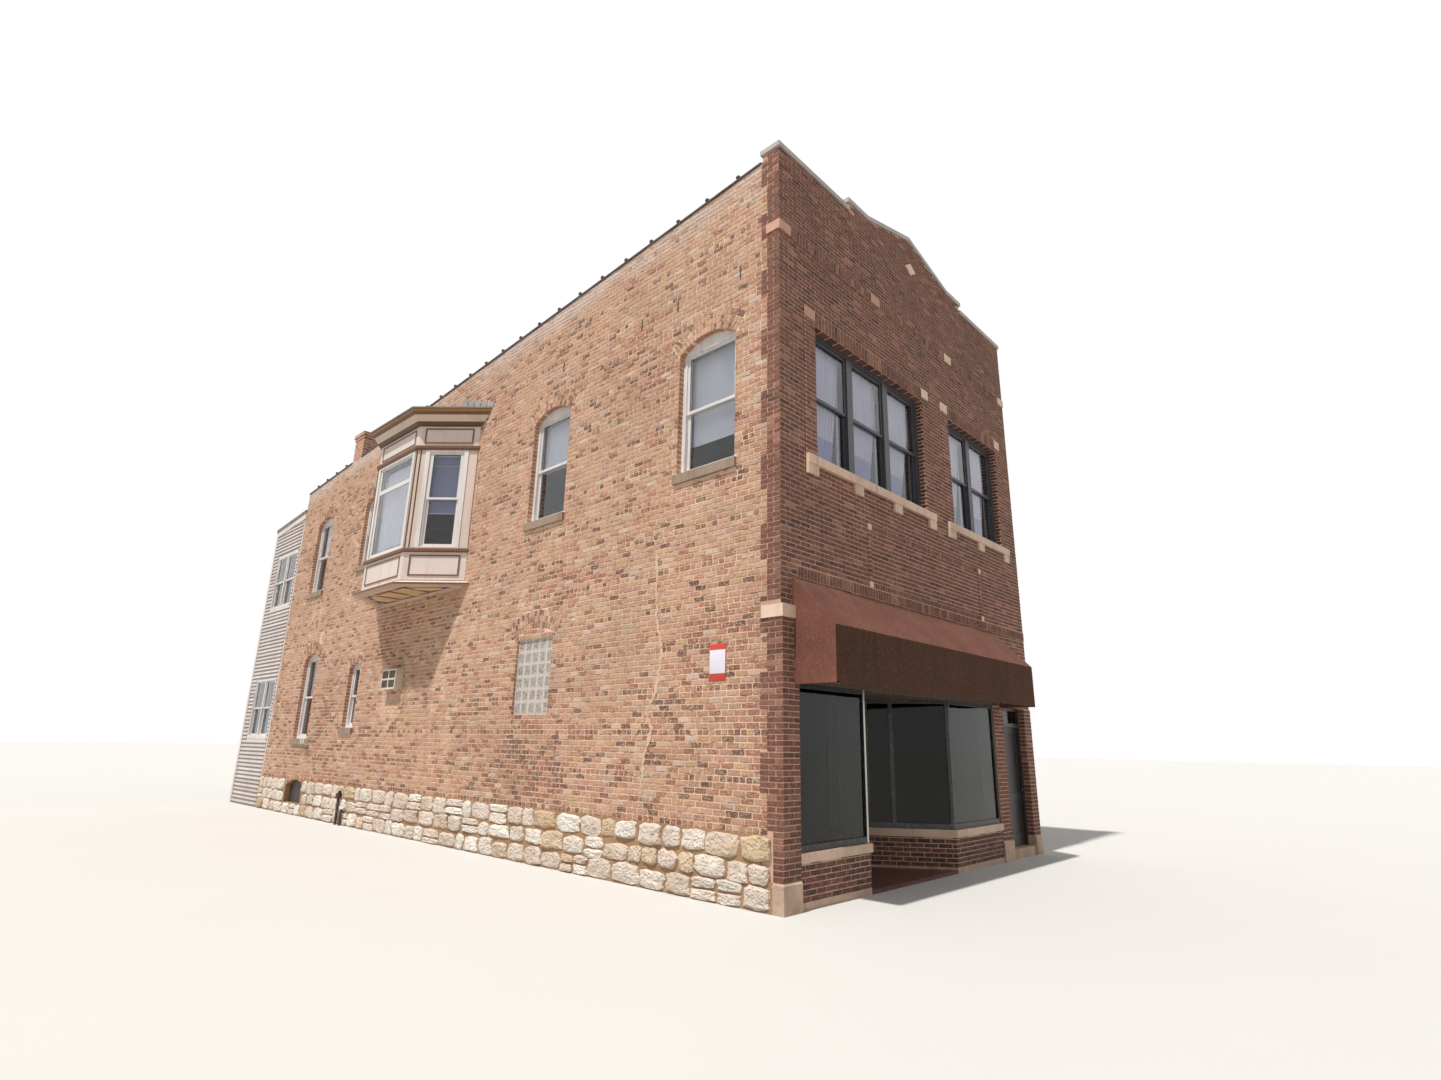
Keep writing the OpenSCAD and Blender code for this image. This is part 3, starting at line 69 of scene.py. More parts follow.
def length_prop(name, default, description, low=0.0):
    return bpy.props.FloatProperty(
        name=name, description=description, subtype="DISTANCE", unit="LENGTH", min=low, default=default)


def angle_prop(name, degrees, description):
    return bpy.props.FloatProperty(
        name=name, description=description, subtype="ANGLE", default=math.radians(degrees))


class BrickSizes(bpy.types.PropertyGroup):
    """How the bricks of both walls are laid"""
    side_course: length_prop("Side course", 0.07996, "Height of a side wall course with its joint", 0.05)
    side_length: length_prop("Side brick", 0.216, "Length of a side wall brick with its joint", 0.1)
    side_joint: length_prop("Side joint", 0.019, "Thickness of the side wall's joints")
    face_course: length_prop("Front course", 0.0677, "Height of a course of the front with its joint", 0.05)
    face_length: length_prop("Front brick", 0.213, "Length of a front brick with its joint", 0.1)
    face_joint: length_prop("Front joint", 0.0115, "Thickness of the front's joints")
    proud: length_prop("Face", 0.006, "How far a brick's face stands off its joints")
    header_every: bpy.props.IntProperty(
        name="Header course", description="One course in this many shows brick ends", min=2, default=7)


class FinishColours(bpy.types.PropertyGroup):
    """Plain colours of the building's materials"""
    common_dark: colour_prop("Burnt common brick", "664738", "Overburnt ends in the side wall")
    common_red: colour_prop("Red common brick", "ae7457", "Redder bricks of the side wall")
    common_tan: colour_prop("Common brick", "c0937a", "Most bricks of the side wall")
    common_pale: colour_prop("Pale common brick", "d9b598", "Palest bricks of the side wall")
    side_mortar: colour_prop("Side mortar", "e6c4ad", "Joints of the side wall")
    face_dark: colour_prop("Dark face brick", "4a322a", "Darkest bricks of the front")
    face_red: colour_prop("Face brick", "754939", "Most bricks of the front")
    face_light: colour_prop("Light face brick", "a87664", "Lightest bricks of the front")
    face_mortar: colour_prop("Front mortar", "d6ae97", "Joints of the front")
    stone: colour_prop("Cut stone", "e6cab4", "Stones of the front")
    rubble: colour_prop("Rubble stone", "dccbbc", "Stones of the side wall's base")
    rubble_joint: colour_prop("Rubble joint", "a9835f", "Joints between the rubble stones")
    cream: colour_prop("Cream paint", "dfcfc6", "Boards and panels of the oriel")
    trim_brown: colour_prop("Brown trim", "6c4526", "Mouldings and panel strips of the oriel")
    trim_gold: colour_prop("Gold trim", "a57a45", "Fascia of the oriel")
    post_pink: colour_prop("Post paint", "d8c6ba", "Corner posts of the oriel")
    white: colour_prop("White paint", "e2ddda", "Side windows")
    charcoal: colour_prop("Charcoal paint", "45454a", "Front windows")
    awning: colour_prop("Awning cloth", "835446", "Cover of the awning")
    siding: colour_prop("Siding", "d9cec9", "Boards of the rear porch")
    tile: colour_prop("Coping tile", "4a3431", "Tiles on the side walls")


class ClothSizes(bpy.types.PropertyGroup):
    """How the awning and the window cloths hang"""
    awning_sag: length_prop("Awning sag", 0.008, "How far the cover dips between its ribs")
    fold_depth: length_prop("Fold depth", 0.022, "Depth of a curtain's folds")


class StageLight(bpy.types.PropertyGroup):
    """Camera, lamps and floor"""
    camera_place: bpy.props.FloatVectorProperty(
        name="Camera", description="Place of the camera", subtype="XYZ", unit="LENGTH", size=3,
        default=(-11.015, -15.737, 1.820))
    lens: bpy.props.FloatProperty(
        name="Lens", description="Focal length in millimetres", min=5, default=18.585)
    turn: angle_prop("Turn", 47.053, "Heading of the view from +Y towards +X")
    rise: angle_prop("Rise", 15.415, "Tilt of the view above level")
    roll: angle_prop("Roll", 1.0145, "Turn of the picture about the view")
    sun: bpy.props.FloatProperty(name="Key lamp", description="Strength of the key lamp", min=0, default=3.8)
    sky: bpy.props.FloatProperty(name="Fill", description="Strength of the even light", min=0, default=0.45)
    floor: colour_prop("Floor", "cfcdc9", "Plain floor of the stage")


GROUPS = {"shop_bricks": BrickSizes, "shop_colours": FinishColours, "shop_cloth": ClothSizes,
          "shop_stage": StageLight}


# Node helpers

class Value:
    """What one output of a node gives, reckoned with by Python's own signs; | is the greater of two."""

    def __init__(self, made, key=0):
        self.tree, self.socket = made.id_data, made.outputs[key]

    def by(self, kind, *others):
        return Value(node(self.tree, "ShaderNodeMath", {"operation": kind}, dict(enumerate((self, *others)))))

    def __add__(self, other):
        return self.by("ADD", other)

    def __sub__(self, other):
        return self.by("SUBTRACT", other)

    def __rsub__(self, other):
        return self.by("MULTIPLY_ADD", -1.0, other)

    def __mul__(self, other):
        return self.by("MULTIPLY", other)

    def __truediv__(self, other):
        return self.by("DIVIDE", other)

    def __lt__(self, other):
        return self.by("LESS_THAN", other)

    def __gt__(self, other):
        return self.by("GREATER_THAN", other)

    def __or__(self, other):
        return self.by("MAXIMUM", other)

    def __abs__(self):
        return self.by("ABSOLUTE")


def feed(socket, value):
    """Gives an input a Value, a written or a linear colour, or a number."""
    if isinstance(value, Value):
        value.tree.links.new(value.socket, socket)
    elif socket.type == "RGBA":
        socket.default_value = (*(colour(value) if isinstance(value, str) else value), 1)
    else:
        socket.default_value = value


def node(tree, kind, settings=None, inputs=None):
    made = tree.nodes.new(kind)
    for key, value in (settings or {}).items():
        setattr(made, key, value)
    for key, value in (inputs or {}).items():
        feed(made.inputs[key], value)
    return made


def mix(share, a, b):
    """Colour b over a by a share. One of the three is a Value."""
    tree = next(value.tree for value in (share, a, b) if isinstance(value, Value))
    return Value(node(tree, "ShaderNodeMix", {"data_type": "RGBA"}, {0: share, 6: a, 7: b}), 2)


def layered(base, layers):
    """Colours laid over a base one after another, each by its share."""
    for share, tint in layers:
        base = mix(share, base, tint)
    return base


def spread(value, low, high, to_low=0.0, to_high=1.0):
    """The value stretched from one range to another, and held at its ends."""
    return Value(node(value.tree, "ShaderNodeMapRange", {"clamp": True},
                      {0: value, 1: low, 2: high, 3: to_low, 4: to_high}))


def noise(place, scale, detail=3.0, rough=0.55, stretch=(1, 1, 1)):
    """Noise of that many waves a metre, stretched along the axes."""
    moved = Value(node(place.tree, "ShaderNodeMapping", None, {"Vector": place, "Scale": stretch}))
    return Value(node(place.tree, "ShaderNodeTexNoise", None,
                      {"Vector": moved, "Scale": scale, "Detail": detail, "Roughness": rough}))


def hashed(value):
    """A random share for each number."""
    return Value(node(value.tree, "ShaderNodeTexWhiteNoise", {"noise_dimensions": "1D"}, {"W": value}))


def place_of(tree, kind="Object"):
    return Value(node(tree, "ShaderNodeTexCoord"), kind)


def axes(place):
    made = node(place.tree, "ShaderNodeSeparateXYZ", None, {0: place})
    return [Value(made, axis) for axis in range(3)]


def site(tree):
    """Building x, y and z of the point."""
    x, y, z = axes(place_of(tree))
    return x - CORNER.x, y - CORNER.y, z


def facing_of(tree):
    return axes(Value(node(tree, "ShaderNodeNewGeometry"), "True Normal"))


def own_tone(tree):
    """The tone that a brick, stone or board was given."""
    return Value(node(tree, "ShaderNodeAttribute", {"attribute_name": "tone"}), "Fac")


# Shared node groups: each function works out the outputs of one

def weathering(tree, base, dirt, amount, scale, streaks, wear):
    """Soot, rain streaks and paler worn spots over a colour."""
    place = place_of(tree)
    patches = spread(noise(place, scale * 1.1, 5, 0.62), 0.42, 0.72)
    runs = spread(noise(place, scale * 7, 3, 0.5, (1, 1, 0.09)), 0.5, 0.75)
    specks = spread(noise(place, scale * 26, 4, 0.7), 0.52, 0.7)
    both = patches * amount | runs * streaks
    worn = mix(specks * wear, mix(both, base, dirt), mix(0.45, base, (1.0, 0.97, 0.92)))
    return worn, spread(both, 0, 1, 0.62, 0.9)


def fine_grain(tree, scale, pits, stretch):
    """Fine height of a rough surface: pits over soft swells."""
    moved = Value(node(tree, "ShaderNodeMapping", None, {"Vector": place_of(tree), "Scale": stretch}))
    cells = node(tree, "ShaderNodeTexVoronoi", {"feature": "F1"}, {"Vector": moved, "Scale": scale})
    return [noise(moved, scale, 6, 0.65) + spread(Value(cells, "Distance"), 0.0, 0.45) * pits]


def piece_tone(tree, dark, red, main, pale, blotch, blotch_scale):
    """Colour of one brick or board from its tone, over four written colours."""
    tone = own_tone(tree) + (noise(place_of(tree), blotch_scale, 4, 0.6) - 0.5) * blotch
    return [layered(dark, [(spread(tone, 0.05, 0.30), red), (spread(tone, 0.30, 0.55), main),
                           (spread(tone, 0.62, 1.0), pale)])]


def brick_courses(tree, brick, other_brick, mortar, length, course, joint):
    """Courses of brick drawn on a plain wall, for faces that are seldom seen."""
    x, y, z = axes(place_of(tree))
    sideways = abs(facing_of(tree)[0]) > 0.5
    along = Value(node(tree, "ShaderNodeMix", {"data_type": "FLOAT"}, {0: sideways, 2: x, 3: y}))
    flat = Value(node(tree, "ShaderNodeCombineXYZ", None, {0: along, 1: z}))
    made = node(tree, "ShaderNodeTexBrick", {"offset": 0.5}, {
        "Vector": flat, "Color1": brick, "Color2": other_brick, "Mortar": mortar, "Scale": 1.0,
        "Mortar Size": joint, "Mortar Smooth": 0.3, "Bias": 0.0, "Brick Width": length, "Row Height": course})
    return Value(made, "Color"), 1.0 - Value(made, "Fac")


PLAIN = "808080"
SHARED = {
    weathering: ({"Colour": PLAIN, "Dirt": PLAIN, "Amount": 0.4, "Scale": 1.0, "Streaks": 0.3, "Wear": 0.2},
                 ("Colour", "Roughness")),
    fine_grain: ({"Scale": 30.0, "Pits": 0.5, "Stretch": (1, 1, 1)}, ("Height",)),
    piece_tone: ({"Dark": PLAIN, "Red": PLAIN, "Main": PLAIN, "Pale": PLAIN, "Blotch": 0.25,
                  "Blotch scale": 14.0}, ("Colour",)),
    brick_courses: ({"Brick": PLAIN, "Other brick": PLAIN, "Mortar": PLAIN, "Length": 0.213, "Course": 0.0677,
                     "Joint": 0.011}, ("Colour", "Height")),
}
SOCKETS = {str: "NodeSocketColor", float: "NodeSocketFloat", tuple: "NodeSocketVector"}


def shared(build, tree, **inputs):
    """Places a shared node group, which is built once, and gives its outputs."""
    ins, outs = SHARED[build]
    group = bpy.data.node_groups.get(build.__name__)
    if not group:
        group = bpy.data.node_groups.new(build.__name__, "ShaderNodeTree")
        for title, default in ins.items():
            socket = group.interface.new_socket(title, in_out="INPUT", socket_type=SOCKETS[type(default)])
            socket.default_value = (*colour(default), 1) if default == PLAIN else default
        for title in outs:
            kind = SOCKETS[str if title == "Colour" else float]
            group.interface.new_socket(title, in_out="OUTPUT", socket_type=kind)
        source, sink = group.nodes.new("NodeGroupInput"), group.nodes.new("NodeGroupOutput")
        for title, value in zip(outs, build(group, *(Value(source, title) for title in ins))):
            feed(sink.inputs[title], value)
    named = {key.replace("_", " ").capitalize(): value for key, value in inputs.items()}
    made = node(tree, "ShaderNodeGroup", {"node_tree": group}, named)
    return [Value(made, title) for title in outs]


# Materials

def blank(name):
    material = bpy.data.materials.new(name)
    material.use_nodes = True
    return material, material.node_tree


def close(material, base, rough, height=None, depth=0.004, **plain):
    """Ends a material: base colour, roughness and bump into one Principled shader."""
    tree = material.node_tree
    shader = tree.nodes["Principled BSDF"]
    for key, value in {"Base Color": base, "Roughness": rough, **plain}.items():
        feed(shader.inputs[key], value)
    if height is not None:
        bump = node(tree, "ShaderNodeBump", None, {"Strength": 0.8, "Distance": depth, "Height": height})
        feed(shader.inputs["Normal"], Value(bump))
    return material


def weathered(name, base, dirt="3a2e26", amount=0.35, scale=1.0, streaks=0.25, wear=0.2, grain=60.0, pits=0.3,
              depth=0.002, stretch=(1, 1, 1), rough=None, **plain):
    """A finish with stains, streaks and grain over its base.

    The base is a colour, or a function of the node tree that gives one, alone or with a relief of its own.
    """
    material, tree = blank(name)
    height = None
    if callable(base):
        base = base(tree)
    if isinstance(base, list):
        base, height = base
    worn, dull = shared(weathering, tree, colour=base, dirt=dirt, amount=amount, scale=scale, streaks=streaks,
                        wear=wear)
    if grain:
        fine, = shared(fine_grain, tree, scale=grain, pits=pits, stretch=stretch)
        height = fine * 0.3 + height if height else fine
    return close(material, worn, dull if rough is None else rough, height, depth, **plain)


def two_tone(name, where, first, second, dirt="3a2e26", amount=0.25, streaks=0.2, wear=0.15, grain=60.0,
             depth=0.002, **plain):
    """A weathered finish with a second colour where a function of x, y, z and the facing says so."""
    return weathered(name, lambda tree: mix(where(*site(tree), facing_of(tree)), first, second),
                     dirt, amount, 1.0, streaks, wear, grain, 0.25, depth, **plain)


# Faces of a wall: the axis that each looks along and the side to which it looks
LEFT, RIGHT, FRONT, REAR = (0, -1), (0, 1), (1, -1), (1, 1)
# The side walls' tops fall to the rear by this share
FALL = 0.0784091


def masonry(name, joint_faces=(), face=True, inside=(), all_round=False):
    """Wall with real bricks on some faces: bare joints there, plaster inside, drawn courses elsewhere."""
    paint = bpy.context.scene.shop_colours
    ceiling = 8.6

    def base(tree):
        x, _, z = site(tree)
        facing = facing_of(tree)
        if face:
            mortar = paint.face_mortar
            brick, other, length, course = paint.face_red, paint.face_dark, 0.213, 0.0677
        else:
            mortar = paint.side_mortar
            brick, other, length, course = paint.common_tan, paint.common_red, 0.216, 0.08
        drawn, relief = shared(brick_courses, tree, brick=brick, other_brick=other, mortar=mortar,
                               length=length, course=course)
        if not face:
            # Dark dashes over the side wall's joints: painted shade in deep, raked joints.
            joint_shade_dashes = noise(place_of(tree), 9.0, 3, 0.6, (1, 0.6, 3.5))
            mortar = mix(spread(joint_shade_dashes, 0.55, 0.63, 0.0, 0.75), mortar, "7c5a45")

        def turned(faces):
            """1 on these faces; no facing goes beyond 1, so the share starts at 0."""
            share = facing[0] > 2
            for axis, side in faces:
                share |= facing[axis] * side > 0.5
            return share

        bare, plaster = turned(joint_faces), turned(inside) * (z < ceiling)
        if all_round:
            bare *= x < FRONT_WIDTH - 0.01
        elif LEFT in joint_faces:
            bare *= 1.0 - (x > 0.05) * (1.0 - (facing[1] < -0.5))
        return [layered(drawn, [(bare, mortar), (plaster, "5d5750")]), relief * (1.0 - (bare | plaster))]

    return weathered(name, base, "4a382c", 0.35, 0.8, 0.3, 0.1, 120.0, 0.2, 0.006, rough=0.92)


# Odd hues among the old bricks: from and to which draw, share and colour
HUES = [(0.78, 0.80, 0.55, "c9a678"), (0.16, 0.14, 0.55, "a99280"), (0.07, 0.05, 0.6, "e2cdbb")]


def brick_finish(name, tones, dirt, amount, mortar, smear, blotch, old=False):
    """Brick faces in four tones with mortar smeared over their edges; old adds parging and patches."""
    def base(tree):
        place = place_of(tree)
        dark, red, main, pale = tones
        tone, = shared(piece_tone, tree, dark=dark, red=red, main=main, pale=pale, blotch=blotch,
                       blotch_scale=34.0)
        smears = spread(noise(place, 40.0, 4, 0.65, (1, 0.6, 1.3)), 0.53, 0.62, 0.0, smear)
        if not old:
            return mix(smears, tone, mortar)
        own = own_tone(tree)
        draw, unburnt = hashed(own * 917.0), spread(own, 0.28, 0.34)
        layers = [(spread(draw, low, high, 0.0, share) * unburnt, tint) for low, high, share, tint in HUES]
        olive = spread(noise(place, 5.0, 3, 0.6), 0.52, 0.66, 0.0, 0.45)
        pits = spread(noise(place, 24.0, 4, 0.7, (1, 0.5, 1.6)), 0.60, 0.66, 0.0, 0.55)
        cement = spread(noise(place, 2.1, 2, 0.5, (1, 0.7, 1.6)), 0.66, 0.70, 0.0, 0.6)
        _, y, z = site(tree)
        patchy = spread(noise(place, 2.2, 4, 0.6, (1, 0.5, 1.6)), 0.34, 0.54)
        parging = spread(z + y * FALL, 9.744, 10.144) * patchy * 0.85
        layers += [(olive, "b39a72"), (pits, "6f4f3d"), (cement, "c3b6a0"), (smears, mortar),
                   (parging, "d6c8bf")]
        return layered(tone, layers)

    return weathered(name, base, dirt, amount, 0.7, 0.2, 0.25, 70.0, 0.7, 0.006, rough=0.9)


def clear_glass(name, tint, bend=1.46):
    """Clear drawn glass with a faint wave."""
    material, tree = blank(name)
    wave = noise(place_of(tree), 1.3, 1, 0.3)
    return close(material, tint, 0.02, wave, 0.002, **{"Transmission Weight": 1.0, "IOR": bend})


def glass_block():
    """Pressed glass blocks, ribbed, with pale rims and joints."""
    material, tree = blank("pressed_glass")
    place = place_of(tree)
    _, y, z = site(tree)
    pitch, first_y, first_z = 0.21, 4.78, 2.26
    off_y = abs(((y - first_y) / pitch).by("FRACT") - 0.5)
    off_z = abs(((z - first_z) / pitch).by("FRACT") - 0.5)
    edge = off_y | off_z
    joint = edge > 0.474
    swirl = Value(node(tree, "ShaderNodeTexNoise", None, {"Vector": place, "Scale": 22.0, "Distortion": 1.6}))
    inner = mix(spread(swirl, 0.38, 0.62), "85807a", "cdc4ba")
    base = layered(inner, [(spread(edge, 0.30, 0.46), "d8cfc6"), (joint, "efe4da")])
    ribs = (axes(place)[1] * 300.0).by("SINE")
    return close(material, base, joint * 0.6 + 0.12, ribs + swirl, 0.003)


ORIEL_PLAN = [(0.0, 11.76), (-0.85, 10.785), (-0.85, 8.935), (0.0, 7.96)]


def oriel_reach(x, y):
    """How far a point stands outside the three flat sides of the oriel."""
    off_wall = x * -0.75377
    rear = off_wall + (y - ORIEL_PLAN[0][1]) * 0.65714
    near = off_wall - (y - ORIEL_PLAN[3][1]) * 0.65714
    return (ORIEL_PLAN[1][0] - x) | rear | near


def oriel_paint():
    """Cream boards with brown strips and mouldings, a gold fascia and a panelled underside."""
    paint = bpy.context.scene.shop_colours
    dark = [(a + b) / 2 for a, b in zip(paint.trim_brown, colour("331f12"))]

    def base(tree):
        x, y, z = site(tree)
        reach = oriel_reach(x, y)
        cornice, skirt = z > 8.185, z < 4.862
        under = (facing_of(tree)[2] < -0.9) * (z < 4.78)
        frame_field = under * (reach < -0.11) * (x < -0.10)
        between_strips = abs(((y - 9.76) / 0.67 + 0.5).by("FRACT") - 0.5) > 0.10
        return layered(mix(reach > 0.008, paint.cream, paint.trim_brown), [
            (cornice * (reach < 0.094), dark),
            (cornice * (reach > 0.094) * (reach < 0.176), "d9c4ae"),
            (cornice * (reach > 0.176) * (reach < 0.236), paint.trim_brown),
            (cornice * (reach > 0.236), paint.trim_gold),
            (skirt * (reach > 0.03) * (reach < 0.145), paint.cream),
            (under, "cfb69c"),
            (frame_field, dark),
            (frame_field * (reach < -0.18) * (x < -0.15) * between_strips, "dfb983")])

    return weathered("oriel_paint", base, "5a4636", 0.16, 1.0, 0.22, 0.15, 40.0, 0.1, 0.001, (1, 1, 0.3), 0.5)


def oriel_window_paint():
    """White casings and sashes between pinkish posts."""
    paint = bpy.context.scene.shop_colours

    def base(tree):
        reach = oriel_reach(*site(tree)[:2])
        post = (reach > -0.004) * (1.0 - (reach > 0.008))
        return mix(post, paint.white, paint.post_pink)

    return weathered("oriel_window_paint", base, "6a5646", 0.15, 1.0, 0.25, 0.1, 40.0, 0.1, 0.001,
                     (1, 1, 0.3), 0.45)


def tiles(name, first, second, joint, size):
    """Square tiles laid on a floor."""
    def base(tree):
        made = node(tree, "ShaderNodeTexBrick", {"offset": 0.0}, {
            "Vector": place_of(tree), "Color1": first, "Color2": second, "Mortar": joint, "Scale": 1.0,
            "Mortar Size": 0.004, "Brick Width": size, "Row Height": size})
        return [Value(made, "Color"), 1.0 - Value(made, "Fac")]
    return weathered(name, base, "2a211c", 0.5, 1.6, 0.3, 0.2, grain=0, rough=0.35)


def coping_tile(name):
    """Glazed dark tile."""
    return weathered(name, bpy.context.scene.shop_colours.tile, "1e1614", 0.5, 2.0, 0.2, 0.3, 50.0, 0.4,
                     rough=0.4)


def boards(name, first, second, width, across):
    """Boards side by side, with grain along them."""
    material, tree = blank(name)
    place = place_of(tree)
    count = axes(place)[across] / width
    seam = spread(abs(count.by("FRACT") - 0.5), 0.47, 0.495)
    line = noise(place, 9.0, 5, 0.6, tuple(6.0 if axis == across else 0.5 for axis in range(3)))
    shade = hashed(count.by("FLOOR")) * 0.5 + line * 0.5
    base = layered(mix(shade, first, second), [(seam * 0.7, "1d1712")])
    return close(material, base, 0.5, line - seam, 0.002)


def paint_nodes():
    """Gives every packed node that shows its procedural finish."""
    paint = bpy.context.scene.shop_colours
    drawn = {"stretch": (1, 1, 0.2)}
    painted = (30.0, 0.1, 0.001)
    # Numbers after a finish's colours: stain, scale, streaks, wear, grain, pits and depth, and for two_tone
    # all but scale and pits
    upright = (1, 1, 0.12)
    black = weathered("door_black", "2b2828", "120f0e", 0.3, 2.0, 0.2, 0.12, 24.0, 0.1, 0.001, upright, 0.38)
    white = weathered("white_paint", paint.white, "6b5f55", 0.22, 1.5, 0.35, 0.15, *painted, **drawn,
                      rough=0.45)
    zinc = weathered("galvanised", "9a9b9c", "6a5a4c", 0.3, 3.0, 0.1, 0.2, 90.0, 0.2, 0.001, rough=0.4,
                     **{"Metallic": 0.8})
    oriel = oriel_paint()
    finish = {
        "ground_floor": weathered("concrete", "6f6a64", "5c564e", 0.5, 1.0, 0.0, 0.2, 50.0, 0.4, 0.003),
        "entry_floor": tiles("entry_tile", "6d3a33", "5a2f2b", "80695c", 0.15),
        "second_floor": boards("floor_boards", "6b5038", "523c2a", 0.09, 0),
        "roof_deck": weathered("roof_felt", "8d8a86", "3c3a38", 0.6, 0.6, 0.0, 0.3, 80.0, 0.5, 0.004),
        "foundation_wall": weathered("rubble_joint", paint.rubble_joint, "4d3a2a", 0.5, 2.0, 0.2, 0.35,
                                     40.0, 0.8, 0.008),
        "left_wall": masonry("side_wall_joints", [LEFT], False, [RIGHT]),
        "party_wall": masonry("party_wall_brick", face=False, inside=[LEFT]),
        "rear_wall": masonry("rear_wall_brick", face=False, inside=[FRONT]),
        "front_wall": masonry("front_wall_joints", [FRONT, LEFT], inside=[REAR]),
        "brick_borders": masonry("raised_brick_joints", [FRONT]),
        "corner_pier": masonry("corner_pier_joints", [FRONT, LEFT]),
        "door_piers": masonry("door_pier_joints", [FRONT, LEFT, RIGHT], all_round=True),
        "shop_bulkheads": masonry("bulkhead_joints", [FRONT, LEFT, RIGHT], all_round=True),
        "chimney": masonry("chimney_brick", face=False),
        "base_stones": weathered("base_stone", "d0b299", "54463a", 0.55, 1.8, 0.35, 0.35, 38.0, 0.7, 0.006),
        "front_sills": weathered("sill_stone", "dfc0a8", "5d4f44", 0.35, 1.4, 0.45, 0.3, 45.0, 0.6, 0.004),
        "accent_stones": two_tone(
            "cut_stone", lambda x, y, z, facing: (x < 2.8) * (z > 7.6), paint.stone, "cc9c83", "5d4f44",
            0.25, 0.35, 0.3, 45.0, 0.004),
        # Faces of the side sills that look up get a pale copy of the stone's colour: a painted highlight on
        # the top.
        "side_window_sills": two_tone(
            "side_sill_stone", lambda x, y, z, facing: facing[2] > 0.3, "9a8472", "dccfc2", "4a3d33",
            0.4, 0.5),
        "front_coping": weathered("front_coping", "b4aca4", "5e564e", 0.35, 1.3, 0.4, 0.2, 60.0, 0.4,
                                  rough=0.5),
        "side_coping": coping_tile("coping_tile"),
        "storefront_header": weathered("header_paint", "5f4a3a", "33271e", 0.4, 2.0, 0.3, 0.2, 30.0, 0.2,
                                       stretch=(0.2, 1, 1)),
        "display_frames": two_tone(
            "storefront_metal", lambda x, y, z, facing: (abs(x - 1.86) > 0.035) | (y > 0.10),
            "c4beb6", "3d3b3c", amount=0.2, wear=0.2, grain=90.0, depth=0.0008, rough=0.36,
            **{"Metallic": 0.75}),
        "shop_glass": clear_glass("shop_glass", (0.30, 0.33, 0.29), 1.3),
        "shop_door": weathered("dark_wood", "3b2a23", "17110e", 0.4, 2.0, 0.3, 0.2, 24.0, 0.1, 0.001, upright,
                               0.42),
        "entry_ceiling": boards("entry_ceiling", "6a5546", "574437", 0.08, 0),
        "awning_rails": zinc,
        "awning_ribs": zinc,
        "awning_cover": weathered("awning_cover", paint.awning),
        "upstairs_door": black,
        "upstairs_door_frame": black,
        "front_window_frames": weathered("charcoal_paint", paint.charcoal, "2a2727", 0.3, 2.0, 0.35, 0.15,
                                         *painted, **drawn, rough=0.42),
        "side_window_frames": white,
        "porch_windows": white,
        "window_glass": clear_glass("window_glass", (0.80, 0.83, 0.88)),
        "glass_block_window": glass_block(),
        "oriel_base": oriel,
        "oriel_cornice": oriel,
        "oriel_frame": oriel_window_paint(),
        "oriel_roof": weathered("oriel_roof", "8b827c", "3c3531", 0.5, 2.0, 0.4, 0.25, rough=0.55),
        "porch_walls": weathered("porch_wall", paint.siding, "6a5c50", 0.35, 1.5, 0.4, 0.15, *painted),
        "porch_fascia": weathered("porch_trim", "e2d8d3", "6a5c50", 0.25, 1.5, 0.35, 0.15, *painted,
                                  rough=0.5),
        "porch_roof": weathered("porch_roof", "7b7672", "2f2c2a", 0.55, 1.0, 0.1, 0.3, 80.0, 0.5, 0.004),
        "air_conditioner": two_tone(
            "cooler_case", lambda x, y, z, facing: (facing[0] < -0.5) * (x > -0.1675), "d8cbb8", "3f3a38",
            rough=0.5),
        "basement_window": boards("board_dark", "3a312b", "2a231f", 0.14, 1),
        "wall_fittings": two_tone(
            "wall_iron", lambda x, y, z, facing: (abs(y - 14.93) < 0.3) * (z > 1.5), "3a3330", "dbd5ce",
            "6d4630", 0.3, 0.2, 0.15, 70.0),
    }
    missing = sorted(set(NODES) - set(finish))
    if missing:
        raise RuntimeError(f"no finish is given to {missing}")
    for name, material in finish.items():
        for place in NODES[name].material_slots:
            place.material = material


# Meshes made from arrays

def joined(name, points, faces, material, slot, **attributes):
    """One piece from many small ones, placed in the frame."""
    mesh = bpy.data.meshes.new(name)
    mesh.from_pydata([(x + CORNER.x, y + CORNER.y, z) for x, y, z in points], [], faces)
    for key, values in attributes.items():
        layer = mesh.attributes.new(key, "FLOAT", "POINT")
        layer.data.foreach_set("value", np.array(values, dtype=np.float32))
    mesh.update()
    made = bpy.data.objects.new(name, mesh)
    bpy.context.scene.collection.objects.link(made)
    mesh.materials.append(material)
    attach(made, "building")


def beside(start, along, across, u, out=0.0):
    """The plan point u along a line and out to its side."""
    return tuple(start[k] + along[k] * u + across[k] * out for k in (0, 1))


def run(a, b):
    """Length and direction from one plan point to another."""
    reach = math.dist(a, b)
    return reach, ((b[0] - a[0]) / reach, (b[1] - a[1]) / reach)


def held(value, low=0.0, high=1.0):
    return min(max(value, low), high)


